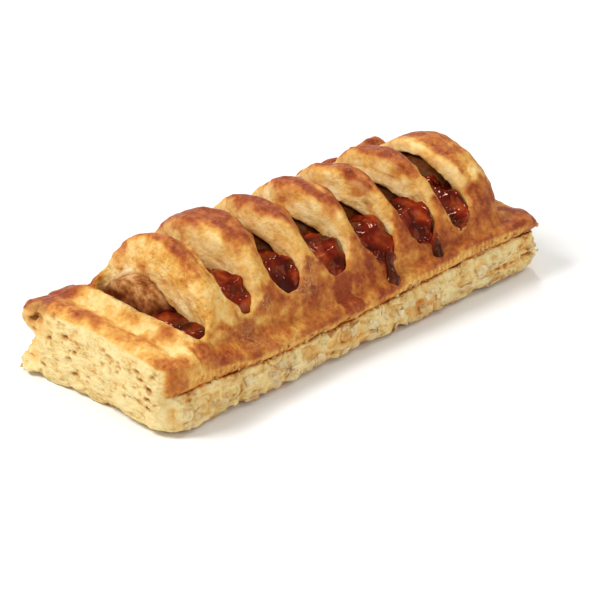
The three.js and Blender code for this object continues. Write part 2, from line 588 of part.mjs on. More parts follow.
function toSolid(geometry) {
  const plain = geometry.clone();
  plain.deleteAttribute("normal");
  plain.deleteAttribute("uv");
  const merged = mergeVertices(plain, MERGE_DISTANCE);
  const corners = merged.getIndex().array;
  const triVerts = [];
  for (let n = 0; n < corners.length; n += 3) {
    const [a, b, c] = [corners[n], corners[n + 1], corners[n + 2]];
    if (a !== b && b !== c && c !== a) triVerts.push(a, b, c);
  }
  const vertProperties = new Float32Array(merged.getAttribute("position").array);
  const mesh = new wasm.Mesh({ numProp: 3, vertProperties, triVerts: new Uint32Array(triVerts) });
  return new wasm.Manifold(mesh);
}

function toGeometry(solid) {
  const { vertProperties, triVerts } = solid.getMesh();
  const geometry = new THREE.BufferGeometry();
  geometry.setAttribute("position", new THREE.BufferAttribute(vertProperties, 3));
  geometry.setIndex(new THREE.BufferAttribute(triVerts, 1));
  geometry.computeVertexNormals();
  return geometry;
}

// The bed with the sausage's own place pressed into it.
function sauce() {
  const cut = toSolid(sauceBed()).subtract(toSolid(sausage(SHEET_GAP)));
  const bodies = cut.decompose().sort((a, b) => b.volume() - a.volume());
  return toGeometry(bodies[0]);
}

// ---------------------------------------------------------------- materials and assembly
const material = (color, roughness) => new THREE.MeshStandardMaterial({ color, roughness, metalness: 0 });
const CRUST = material(0xd9a052, 0.5);
const CRUMB = material(0xe6c888, 0.8);
const MEAT = material(0x6b3c20, 0.55);
const TOMATO_SAUCE = material(0x8a2410, 0.15);

const PIECES = [
  ["pastry_base", base(), CRUMB],
  ["pastry_lid", lid(), CRUST],
  ["sausage", sausage(), MEAT],
  ["sauce", sauce(), TOMATO_SAUCE],
];

const sausageRoll = new THREE.Group();
for (const [name, geometry, finish] of PIECES) {
  const mesh = new THREE.Mesh(geometry, finish);
  mesh.name = name;
  sausageRoll.add(mesh);
}

// The uneven outline is centred over the origin.
const middle = new THREE.Box3().setFromObject(sausageRoll, true).getCenter(new THREE.Vector3());
for (const { geometry } of sausageRoll.children) geometry.translate(-middle.x, -middle.y, 0);

export default sausageRoll;
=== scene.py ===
# %% [markdown]
# # A baked sausage roll
# This lesson dresses a plain solid model of a sausage roll: two sheets of puff pastry with a sausage
# and tomato sauce between them. The solids give the sizes. Here each piece gets its true surface: puffed
# and browned crust, cut faces with their layers and pores, wet sauce, coarse meat.
#
# The solid model is loaded first, and nothing in it is moved. A new piece rides on the model's one body.

# %% Load the solid model
import math

import bpy
import numpy as np
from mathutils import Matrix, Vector


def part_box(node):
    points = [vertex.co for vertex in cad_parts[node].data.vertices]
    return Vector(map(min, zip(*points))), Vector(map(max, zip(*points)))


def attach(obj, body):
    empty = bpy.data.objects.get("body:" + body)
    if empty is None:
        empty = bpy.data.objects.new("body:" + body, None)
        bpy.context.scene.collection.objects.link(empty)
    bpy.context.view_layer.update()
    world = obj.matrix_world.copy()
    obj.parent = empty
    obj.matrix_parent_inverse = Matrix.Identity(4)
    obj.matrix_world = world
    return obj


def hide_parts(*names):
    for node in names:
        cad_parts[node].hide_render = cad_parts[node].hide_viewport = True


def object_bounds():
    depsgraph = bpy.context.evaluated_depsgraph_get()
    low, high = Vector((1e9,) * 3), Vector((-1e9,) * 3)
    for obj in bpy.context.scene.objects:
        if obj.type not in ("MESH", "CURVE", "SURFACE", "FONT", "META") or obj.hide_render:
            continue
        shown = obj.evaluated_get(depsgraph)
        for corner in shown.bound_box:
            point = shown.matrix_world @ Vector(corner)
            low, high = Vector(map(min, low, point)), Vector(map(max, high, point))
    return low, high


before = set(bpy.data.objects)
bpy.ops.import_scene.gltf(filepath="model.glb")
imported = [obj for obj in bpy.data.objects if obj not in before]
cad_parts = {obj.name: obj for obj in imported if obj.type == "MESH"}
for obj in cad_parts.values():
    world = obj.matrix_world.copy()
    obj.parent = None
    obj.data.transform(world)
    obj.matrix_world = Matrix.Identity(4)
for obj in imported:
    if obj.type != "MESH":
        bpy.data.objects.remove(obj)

SOLID_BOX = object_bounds()
MM = 0.001  # the form is worked out in millimetres, and a mesh is made in metres
print("solid model:", sorted(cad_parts), [round(v / MM, 1) for v in (SOLID_BOX[1] - SOLID_BOX[0])])

# %% [markdown]
# ## The form of the roll
# Both sheets can be said in a few rules. The lid is a flat sheet with a half-round dome along its
# middle, and seven slits cut the dome into ribs. They could be sculpted by hand, but rules give the
# height and the depth below the crust at every point, and browning and layers need just that.
# The rules are those of the solid model, in millimetres, so the fine surface lies where the solid does.

# %% Sizes of the two sheets
HALF_LENGTH = 80.0
HALF_WIDTH = 32.0
CORNER_RADIUS = 2.6
NEAR_CORNER_RADIUS = 7.0
NEAR_CORNER_STRETCH = 1.8
EDGE_WANDER = 0.6
SHEET_GAP = 0.1
JOINED_OVERLAP = 1.0  # at the near end the sheets baked together, so their meshes run into each other

SEAM_BED, SEAM_MID_RISE, SEAM_END_RISE = 9.2, 2.3, 5.2
SEAM_LOW_X, SEAM_RISE_LENGTH, SEAM_RISE_POWER = -18.0, 70.0, 4

SIDE_PLATEAU, NEAR_PLATEAU, FAR_PLATEAU = 19.8, 25.2, 20.6
PRESSED_THICKNESS, NEAR_EDGE_THICKNESS, FAR_EDGE_THICKNESS = 4.0, 8.0, 5.4
FLANGE_RISE_WIDTH = 12.0
BACK_EDGE_CURL, BACK_EDGE_BUMP, BACK_EDGE_BUMP_X, BACK_EDGE_BUMP_SIZE = 8.4, 2.4, 68.0, 5.0
LIP_HEIGHT, LIP_X, LIP_SIZE = 1.1, -64.0, 4.0
VALLEY_DEPTH, VALLEY_X, VALLEY_SIZE = 1.6, -69.5, 3.5

DOME_TOP, DOME_SPRING = 41.8, 12.0
DOME_NEAR_HALF_WIDTH, DOME_FAR_HALF_WIDTH, DOME_FAR_HALF_WIDTH_AT_FIRST_RIB = 28.0, 27.4, 24.8
DOME_NOSE_START, DOME_NOSE_LENGTH, DOME_NOSE_FULLNESS, DOME_FILLET = 57.0, 15.5, 5, 3.4
AXIS_Y_AT_MIDDLE, AXIS_TURN = -0.6, -0.036
RIB_SWELL, RIB_EDGE_DROP = 3.7, 3.4
RIB_NEAR_RADIUS, RIB_FAR_RADIUS, LAST_RIB_ROLL = 3.6, 6.4, 0.3
CAVITY_HALF_WIDTH, CAVITY_FAR_X, CAVITY_NOSE = 21.8, 67.0, 7.0
CAVITY_TOPS = [  # x, and the height of its ceiling
    (-56, 32.2), (-48, 33.4), (-26, 33.4), (-17, 36.0), (46, 36.0), (52, 39.6),
]

# Each slit: where it is on the crest, how far its -Y tip leans along the roll, its widest opening, its
# opening on the crest, its reach from the axis of the dome to either side, and the swell of the next rib.
SLITS = [
    (-58.9, 1.2, 5.8, 5.6, 24.6, 20.0, 1.0),
    (-43.8, 3.4, 9.8, 4.6, 24.2, 21.0, 1.1),
    (-21.5, -0.2, 10.6, 4.8, 24.0, 22.0, 1.1),
    (-4.9, 2.6, 12.2, 5.0, 24.0, 21.5, 1.1),
    (13.6, 3.2, 12.6, 5.0, 25.2, 22.0, 1.0),
    (30.8, 3.4, 12.2, 5.4, 25.0, 21.5, 1.05),
    (48.8, 1.6, 10.6, 6.8, 24.6, 21.5, 0.45),
]
LEAN_BEYOND_CREST = 0.4
SLIT_END_OPENING = 0.74
SLIT_END_RADIUS = 3.2

SAUSAGE_HALF_WIDTH, SAUSAGE_HALF_HEIGHT = 12.0, 10.6
SAUSAGE_HEIGHTS = [(-30, 21.6), (5, 24.0), (38, 24.0), (60, 28.4)]  # x, and the height of its axis
SAUSAGE_NEAR_X, SAUSAGE_FAR_X, SAUSAGE_ASIDE = -61.2, 60.5, 3.8
SAUSAGE_NEAR_ROUNDING, SAUSAGE_FAR_ROUNDING = 3.0, 7.0
ASIDE_FROM_X, ASIDE_PAST_X = -10.0, -60.0  # between these the sausage leans aside


# %% Small helpers for smooth rules
def ease(start, end, value):
    """0 before start, 1 past end, smooth between, whichever of the two is larger."""
    t = np.clip((value - start) / (end - start), 0.0, 1.0)
    return t * t * (3.0 - 2.0 * t)


def lerp(a, b, t):
    return a + (b - a) * t


def step_along(table, x):
    """The value at x of a table of pairs, with a smooth step from each pair to the next."""
    value = table[0][1]
    for (x0, before), (x1, after) in zip(table, table[1:]):
        value = value + (after - before) * ease(x0, x1, x)
    return value


def soft_max(a, b, size):
    """The larger of two values, rounded over the given size where they meet."""
    h = np.clip(0.5 + 0.5 * (a - b) / size, 0.0, 1.0)
    return lerp(b, a, h) + size * h * (1.0 - h)


def hump(value, middle, size):
    """1 at the middle, falling off smoothly to both sides."""
    return np.exp(-(((value - middle) / size) ** 2))


def off_corner(across, along, radius):
    """How far a place lies outside a rounded corner, from how far it is past each of its two sides."""
    across, along = across + radius, along + radius
    outside = np.hypot(np.maximum(across, 0), np.maximum(along, 0))
    return outside + np.minimum(np.maximum(across, along), 0) - radius


def along_line(x, y, start, end):
    """How far along a line a plan place lies, from 0 to 1, and how far away from it."""
    run = np.subtract(end, start)
    share = np.clip(((x - start[0]) * run[0] + (y - start[1]) * run[1]) / (run @ run), 0, 1)
    return share, np.hypot(x - start[0] - share * run[0], y - start[1] - share * run[1])


def wander(x, y, size, seed):
    """A smooth unevenness from -1 to 1, the one that the solid model has."""
    a = np.sin((x + y * 0.31) / size + seed * 1.7)
    b = np.sin((x * 0.43 - y * 1.13) / size + seed * 3.1 + 1.3)
    c = np.sin((x * 1.61 + y * 0.87) / size + seed * 5.3 + 2.6)
    return (a + b + c) / 3.0


LATTICE = 32


def grain(x, y, z, size, seed):
    """Random unevenness from -1 to 1 with lumps of the given size, the same on every run."""
    table = np.random.default_rng(seed).uniform(-1.0, 1.0, (LATTICE, LATTICE, LATTICE))
    place = [np.asarray(v) / size + 7.3 * seed for v in np.broadcast_arrays(x, y, z)]
    whole = [np.floor(v).astype(int) for v in place]
    part = [v - w for v, w in zip(place, whole)]
    part = [p * p * (3.0 - 2.0 * p) for p in part]
    total = 0.0
    for corner in range(8):
        step = [(corner >> n) & 1 for n in range(3)]
        share = 1.0
        for p, s in zip(part, step):
            share = share * (p if s else 1.0 - p)
        index = tuple((w + s) % LATTICE for w, s in zip(whole, step))
        total = total + share * table[index]
    return total


# %% Heights of seam, flange and dome
def axis_y(x):
    return AXIS_Y_AT_MIDDLE + AXIS_TURN * x


def sausage_y(x):
    return axis_y(x) + SAUSAGE_ASIDE * ease(ASIDE_FROM_X, ASIDE_PAST_X, x)


def sausage_z(x):
    return step_along(SAUSAGE_HEIGHTS, x)


def find_shift():
    """The solid model is centred over its origin. The sausage's box says by how much it was shifted."""
    x = np.linspace(SAUSAGE_NEAR_X, SAUSAGE_FAR_X, 400)
    past_near = (x - SAUSAGE_NEAR_X) / SAUSAGE_NEAR_ROUNDING
    inwards = np.minimum(past_near, (SAUSAGE_FAR_X - x) / SAUSAGE_FAR_ROUNDING)
    half = SAUSAGE_HALF_WIDTH * np.sqrt(1 - (1 - np.minimum(1, inwards)) ** 2)
    low, high = (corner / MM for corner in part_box("sausage"))
    middle_y = ((sausage_y(x) + half).max() + (sausage_y(x) - half).min()) / 2
    return (low.x + high.x) / 2 - (SAUSAGE_NEAR_X + SAUSAGE_FAR_X) / 2, (low.y + high.y) / 2 - middle_y


SHIFT_X, SHIFT_Y = find_shift()
print(f"the solid model is shifted by {SHIFT_X:.2f}, {SHIFT_Y:.2f} mm")


def seam(x, y):
    rise = lerp(SEAM_MID_RISE, SEAM_END_RISE, ease(0, SEAM_RISE_LENGTH, abs(x - SEAM_LOW_X)))
    return SEAM_BED + rise * np.minimum(1, abs(y) / HALF_WIDTH) ** SEAM_RISE_POWER


def flange(x, y):
    """Top of the lid where there is no dome."""
    near_end = ease(-50, -66, x)
    plateau = lerp(lerp(SIDE_PLATEAU, NEAR_PLATEAU, near_end), FAR_PLATEAU, ease(58, 78, x))
    thickness = lerp(PRESSED_THICKNESS, NEAR_EDGE_THICKNESS, ease(-46, -72, x))
    thickness = lerp(thickness, FAR_EDGE_THICKNESS, ease(0, 50, x))
    pressed = seam(x, HALF_WIDTH) + thickness
    climbed = 1 - (1 - np.clip((HALF_WIDTH - abs(y)) / FLANGE_RISE_WIDTH, 0, 1)) ** 2
    curl = BACK_EDGE_CURL + BACK_EDGE_BUMP * hump(x, BACK_EDGE_BUMP_X, BACK_EDGE_BUMP_SIZE)
    curl = curl * ease(-30, 26, x) * ease(80, 70, x) * ease(20, 30, y)
    lip = LIP_HEIGHT * hump(x, LIP_X, LIP_SIZE) - VALLEY_DEPTH * hump(x, VALLEY_X, VALLEY_SIZE)
    rolled = 0.6 * ease(-76, -81, x) + 1.6 * ease(75, 81, x)
    uneven = 0.5 * wander(x, y, 7, 2)
    return lerp(pressed, plateau, climbed) + curl + (lip * near_end + uneven) * climbed - rolled


def dome(x, y):
    """The smooth dome over the filling, without slits."""
    dy = y - axis_y(x)
    far = lerp(DOME_FAR_HALF_WIDTH_AT_FIRST_RIB, DOME_FAR_HALF_WIDTH, ease(-54, -34, x))
    across = dy / np.where(dy < 0, DOME_NEAR_HALF_WIDTH, far)
    along = np.maximum(0, x - DOME_NOSE_START) / DOME_NOSE_LENGTH
    inside = 1 - across**2 - along**DOME_NOSE_FULLNESS
    return DOME_SPRING + (DOME_TOP - DOME_SPRING) * np.sqrt(np.maximum(0, inside))


# %% [markdown]
# ## Slits and ribs
# A slit is a plan shape: narrow over the crest, where the dough holds together, and wide and round
# below, where it sank apart. Between two slits the crust rolls down to both cut edges, tightly on the
# near side and gently on the far one. That roll is what makes a rib look plump.


# %% Slits, ribs and the whole lid
def slit_at(slit, y):
    """Middle line and opening of a slit at a place across the roll, and how open it still is."""
    x, lean, gape, throat, near, far, _ = slit
    dy = y - axis_y(x)
    share = abs(dy) / np.where(dy < 0, near, far)
    opening = lerp(throat, gape, ease(0.15, 0.76, share))
    opening = opening * lerp(1, SLIT_END_OPENING, ease(0.84, 1, share))
    middle = x + lean * share * np.where(dy < 0, 1, -LEAN_BEYOND_CREST)
    return middle, opening, 1 - ease(0.9, 1.15, share)


def slit_distance(x, y, slit):
    """How far a plan point lies outside a slit, negative inside."""
    middle, opening, _ = slit_at(slit, y)
    dy = y - axis_y(slit[0])
    reach = np.where(dy < 0, slit[4], slit[5])
    radius = np.minimum(opening / 2, SLIT_END_RADIUS)
    return off_corner(abs(x - middle) - opening / 2, abs(dy) - reach, radius)


def nearest_slit(x, y):
    distance = slit_distance(x, y, SLITS[0])
    for slit in SLITS[1:]:
        distance = np.minimum(distance, slit_distance(x, y, slit))
    return distance


def rib_form(x, y):
    """How far the crust has rolled down beside a slit, and how much the rib swells."""
    drop, swell = 0.0, 1.0
    for slit in SLITS:
        middle, opening, still_open = slit_at(slit, y)
        away = np.maximum(0, abs(x - middle) - opening / 2)
        radius = np.where(x < middle, RIB_FAR_RADIUS, RIB_NEAR_RADIUS)
        short = 1 - np.minimum(1, away / radius)
        rolls = np.where(x > middle, LAST_RIB_ROLL, 1.0) if slit is SLITS[-1] else 1.0
        drop = np.maximum(drop, (1 - np.sqrt(1 - short**2)) * still_open * rolls)
        swell = np.where(x > middle, slit[6], swell)
    return drop, swell


def lid_heights(x, y):
    """Top of the lid, and the same before the crust rolls down to the slits."""
    flat = flange(x, y)
    drop, swell = rib_form(x, y)
    on_dome = ease(27, 15, abs(y - axis_y(x)))
    uneven = 0.4 * wander(x, y, 6, 5)
    ribs = [
        soft_max(flat, dome(x, y) + lift * on_dome + uneven, DOME_FILLET)
        for lift in (RIB_SWELL * swell * (1 - drop) - RIB_EDGE_DROP * drop, RIB_SWELL * swell)
    ]
    middle, opening, _ = slit_at(SLITS[0], y)
    past_first = ease(middle - opening / 2, middle, x)
    return lerp(flat - 1.2 * drop, ribs[0], past_first), lerp(flat, ribs[1], past_first)


def cavity(x, y):
    """Ceiling of the space for the filling."""
    across = (y - axis_y(x)) / CAVITY_HALF_WIDTH
    nose = np.maximum(0, x - (CAVITY_FAR_X - CAVITY_NOSE)) / CAVITY_NOSE
    arch = np.sqrt(np.maximum(0, 1 - across**2 - nose**2))
    return SEAM_BED + (step_along(CAVITY_TOPS, x) - SEAM_BED) * arch


def outline_distance(x, y):
    """How far a plan point lies outside the uneven outline of the sheets, negative inside."""
    end, side = np.where(x < 0, -1, 1), np.where(y < 0, -1, 1)
    half_length = HALF_LENGTH + EDGE_WANDER * wander(y, end * HALF_LENGTH, 8, 1)
    half_length = half_length + (x < 0) * NEAR_CORNER_STRETCH * ease(0, HALF_WIDTH, y)
    half_width = HALF_WIDTH + EDGE_WANDER * wander(x, side * HALF_WIDTH, 9, 4)
    radius = np.where((x < 0) & (y < 0), NEAR_CORNER_RADIUS, CORNER_RADIUS)
    return off_corner(abs(x) - half_length, abs(y) - half_width, radius)


# %% [markdown]
# ## From a rule to a mesh
# A height map can't hold a pore in an upright face or a layer that stands out sideways. A field in
# space can: it is negative inside the dough and positive outside. The field is sampled on a fine grid
# of cubes, each cube that the surface passes gets one point, and neighbours are joined by quads. The
# method is called surface nets. Loose specks that the pores cut off are dropped.

# %% Surface nets
BOX_MARGIN_MM = 0.02
EDGES = [(axis, u, v) for axis in range(3) for u in (0, 1) for v in (0, 1)]


def corner_steps(axis, u, v):
    """The two ends of one edge of a cube."""
    start = np.insert(np.array([u, v]), axis, 0)
    return start, start + np.eye(3, dtype=int)[axis]


def surface_points(field, low, step):
    """One point in each cube that the surface passes, and the number of each cube's point."""
    inside = field < 0
    shape = tuple(n - 1 for n in field.shape)
    count = np.zeros(shape, np.int8)
    for corner in range(8):
        a, b, c = (corner >> n & 1 for n in range(3))
        count += inside[a : shape[0] + a, b : shape[1] + b, c : shape[2] + c]
    cells = np.argwhere((count > 0) & (count < 8))
    number = np.full(shape, -1, np.int64)
    number[tuple(cells.T)] = np.arange(len(cells))
    total, hits = np.zeros((len(cells), 3)), np.zeros(len(cells))
    for axis, u, v in EDGES:
        start, end = corner_steps(axis, u, v)
        f0, f1 = (field[tuple((cells + s).T)] for s in (start, end))
        crossed = (f0 < 0) != (f1 < 0)
        along = np.where(crossed, f0 / np.where(crossed, f0 - f1, 1.0), 0.0)
        total += (start + along[:, None] * (end - start)) * crossed[:, None]
        hits += crossed
    return low + (cells + total / hits[:, None]) * step, number


def surface_quads(field, number):
    """A quad round each grid edge that the surface crosses, facing out."""
    inside = field < 0
    quads = []
    for axis in range(3):
        ahead = np.roll(inside, -1, axis)
        crossed = inside != ahead
        crossed[tuple(slice(None) if a != axis else -1 for a in range(3))] = False
        at = np.argwhere(crossed)
        at = at[(np.delete(at, axis, 1) > 0).all(1)]
        one, two = (np.eye(3, dtype=int)[(axis + n) % 3] for n in (1, 2))
        ring = [number[tuple((at - s).T)] for s in (one + two, two, 0 * one, one)]
        quad = np.stack(ring, 1)
        outwards = inside[tuple(at.T)]
        quads.append(np.where(outwards[:, None], quad, quad[:, ::-1]))
    return np.concatenate(quads)


def keep_in_box(points):
    """Presses the few points that stand out of the solid model's box back into it."""
    low, high = (np.array(corner) / MM - (SHIFT_X, SHIFT_Y, 0) for corner in SOLID_BOX)
    return np.clip(points, low + BOX_MARGIN_MM, high - BOX_MARGIN_MM)


def largest_body(points, quads):
    """Keeps the one body with the most points."""
    label = np.arange(len(points))
    pairs = np.concatenate([quads[:, [0, 1]], quads[:, [1, 2]], quads[:, [2, 3]]])
    while True:
        least = np.minimum(label[pairs[:, 0]], label[pairs[:, 1]])
        before = label.copy()
        for side in (0, 1):
            np.minimum.at(label, label[pairs[:, side]], least)
            np.minimum.at(label, pairs[:, side], least)
        label = label[label]
        if (label == before).all():
            break
    kept = label == np.bincount(label).argmax()
    renumber = np.cumsum(kept) - 1
    return points[kept], renumber[quads[kept[quads[:, 0]]]]


class Block:
    """A block of space, cut into cubes, in which a field is worked out."""

    def __init__(self, low, high, step):
        self.low, self.step = np.floor(np.array(low) / step) * step, step
        lines = [np.arange(a, b + step, step) for a, b in zip(self.low, high)]
        self.x, self.y, self.z = np.ix_(*lines)
        self.plan = self.x[:, :, 0], self.y[:, :, 0]

    def near_surface(self, field, band):
        """The grid places close to the surface, and their coordinates."""
        at = np.nonzero(abs(field) < band)
        return at, [line.ravel()[n] for line, n in zip((self.x, self.y, self.z), at)]

    def skin(self, field):
        points, number = surface_points(field, self.low, self.step)
        return largest_body(keep_in_box(points), surface_quads(field, number))


STEEPEST = 3.0  # rise over run; steeper places count as this steep


def steepness(height, step):
    """Turns a difference in height into a distance from a sloping surface."""
    gx, gy = np.gradient(height, step)
    return 1 / np.sqrt(1 + np.minimum(gx**2 + gy**2, STEEPEST**2))


# %% A mesh piece from points and faces
def put_in_scene(name, data):
    """Makes an object of a mesh, a lamp or a camera."""
    placed = bpy.data.objects.new(name, data)
    bpy.context.scene.collection.objects.link(placed)
    return placed


def make_piece(name, points, faces, material, attributes=None):
    """A shaded mesh object in metres, shifted to where the solid model stands."""
    mesh = bpy.data.meshes.new(name)
    placed = (np.asarray(points) + (SHIFT_X, SHIFT_Y, 0)) * MM
    mesh.from_pydata(placed.tolist(), [], np.asarray(faces).tolist())
    mesh.shade_smooth()
    for key, values in (attributes or {}).items():
        layer = mesh.attributes.new(key, "FLOAT", "POINT")
        layer.data.foreach_set("value", np.ascontiguousarray(values, np.float32))
    mesh.materials.append(material)
    triangles = sum(len(p.vertices) - 2 for p in mesh.polygons)
    print(f"{name}: {len(points)} points, {triangles} triangles")
    return put_in_scene(name, mesh)


def fit(piece, slot, *nodes):
    """Every piece rides on the one body, and may stand for nodes of the solid model."""
    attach(piece, "root")
    if nodes:
        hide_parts(*nodes)


# %% [markdown]
# ## Materials
# Each material is a small tree of nodes. One helper adds a node with its settings and links, so a tree
# reads from top to bottom like a recipe, and another adds up patterns by their weights. Colours are
# written as screen colours and turned to linear light.


# %% Node and colour helpers
MATH, VECTOR_MATH, MIX = "ShaderNodeMath", "ShaderNodeVectorMath", "ShaderNodeMix"
NOISE, RAMP, MAP_RANGE = "ShaderNodeTexNoise", "ShaderNodeValToRGB", "ShaderNodeMapRange"
SPLIT, JOIN, BUMP = "ShaderNodeSeparateXYZ", "ShaderNodeCombineXYZ", "ShaderNodeBump"
POSITION, MOVE = "GeometryNodeInputPosition", "GeometryNodeSetPosition"


def linear(hex_code):
    """A screen colour such as 'e6c888' as linear light."""
    parts = [int(hex_code[n : n + 2], 16) / 255 for n in (0, 2, 4)]
    return (*[p / 12.92 if p <= 0.04045 else ((p + 0.055) / 1.055) ** 2.4 for p in parts], 1.0)


def feed(tree, made, inputs):
    """Gives a node its inputs, in order or by name or number. Each is a value, a socket, or another
    node, of which the first output in use is linked."""
    for key, value in inputs.items() if isinstance(inputs, dict) else enumerate(inputs):
        if isinstance(value, bpy.types.Node):
            value = next(output for output in value.outputs if output.enabled)
        if isinstance(value, bpy.types.NodeSocket):
            tree.links.new(value, made.inputs[key])
        else:
            made.inputs[key].default_value = value


def node(tree, kind, inputs=(), stops=(), **settings):
    """Adds a node with its settings and links. stops are the places and colours of a colour ramp."""
    made = tree.nodes.new(kind)
    for key, value in settings.items():
        setattr(made, key, value)
    if stops:
        elements = made.color_ramp.elements
        while len(elements) < len(stops):
            elements.new(0.5)
        for element, (place, colour) in zip(elements, stops):
            element.position, element.color = place, linear(colour)
    feed(tree, made, inputs)
    return made


def added_up(tree, total, parts):
    """Adds patterns to a total, each times its weight."""
    for part, weight in parts:
        total = node(tree, MATH, (part, weight, total), operation="MULTIPLY_ADD")
    return total


def lump_scale(size_mm):
    """The scale at which noise has lumps of about this size."""
    return 1 / (2 * size_mm * MM)


def start_material(name):
    """An empty material with a principled surface, and a reader for the piece's own coordinates."""
    material = bpy.data.materials.new(name)
    material.use_nodes = True
    tree = material.node_tree
    surface = tree.nodes["Principled BSDF"]
    place = tree.nodes.new("ShaderNodeTexCoord").outputs["Object"]
    return material, tree, surface, place

# %% [markdown]
# ### Puff pastry
# Puff pastry is hundreds of thin sheets of dough with fat between them. In the oven the egg-washed
# top turns from straw to gold to red-brown, fastest where it stands up or lies thin. Where the dough
# was cut, the sheets show as fine lines with pores between them, and stay pale and matt.
#
# Numbers stored on each point tell the shader what it needs: how far the crust is baked, with painted
# shade added in the seam and in hollows, whether the point lies on a cut face or in a pore, whether sauce
# soaked it or dry egg wash whitens it, how deep below the crust it is and how far along a rib, because
# layers and streaks follow those two.

# %% Baked puff pastry
STRAW, GOLD, AMBER, RED_BROWN, DARK = "f2d08a", "e0a84e", "c0702a", "963e12", "521c06"
CRUMB_PALE, CRUMB, CRUMB_TAN, RECESS_SHADE, PORE_SHADE = "e8d49c", "dec282", "ca9a58", "a86c34", "c08a48"
LAYER_PALE, LAYER_CREAM, LAYER_TAN, LAYER_LINE = "f2dcaa", "dfbf82", "c08a4a", "96602c"
FROST, SOAKED_RED = "e4bc8c", "8a2a0a"
LAYER_MM = 0.8  # real sheets are about 0.1 mm; these are drawn as coarse as they need to show
STREAK_MM, STREAK_STRETCH = 1.3, 4.5  # streaks of the ribs: width, and how many times longer they are
BLISTER_MM = 1.5

# Noise on the pastry: size of its lumps in mm, detail, roughness, distortion, and how far it is drawn
# out along each axis.
PASTRY_NOISE = {
    "mottle": (1.9, 5, 0.7, 0.4, (1, 1, 1)),
    "speckle": (0.7, 2, 0.6, 0.0, (1, 1, 1)),
    "lace": (1.3, 2, 0.6, 1.4, (1, 1, 1)),
    "sideways": (4.0, 3, 0.5, 0.0, (1, 1, 1)),
    "pits": (0.6, 3, 0.6, 0.0, (1.3, 1.3, 0.9)),
    "blotches": (2.4, 4, 0.65, 0.0, (1, 1, 1)),
    "walls": (1.3, 2, 0.5, 1.0, (1.3, 1.5, 0.8)),
    "wrinkle": (0.8, 4, 0.65, 0.6, (1, 1, 1)),
}


def streaks_of(tree, place, depth, sweep):
    """Noise that is drawn out along the arch of a rib."""
    across = node(tree, MATH, (node(tree, SPLIT, (place,)), 1 / MM), operation="MULTIPLY")
    along = node(tree, MATH, (sweep, 1 / STREAK_STRETCH), operation="MULTIPLY")
    inputs = {"Scale": 1 / (2 * STREAK_MM), "Detail": 4.0, "Roughness": 0.6, "Distortion": 0.3}
    return node(tree, NOISE, {"Vector": node(tree, JOIN, (across, depth, along)), **inputs})


def ridges_of(tree, noise):
    """How far a noise is from its middle value, which is 0 along winding lines."""
    return node(tree, MATH, (added_up(tree, -0.5, [(noise, 1.0)]),), operation="ABSOLUTE")


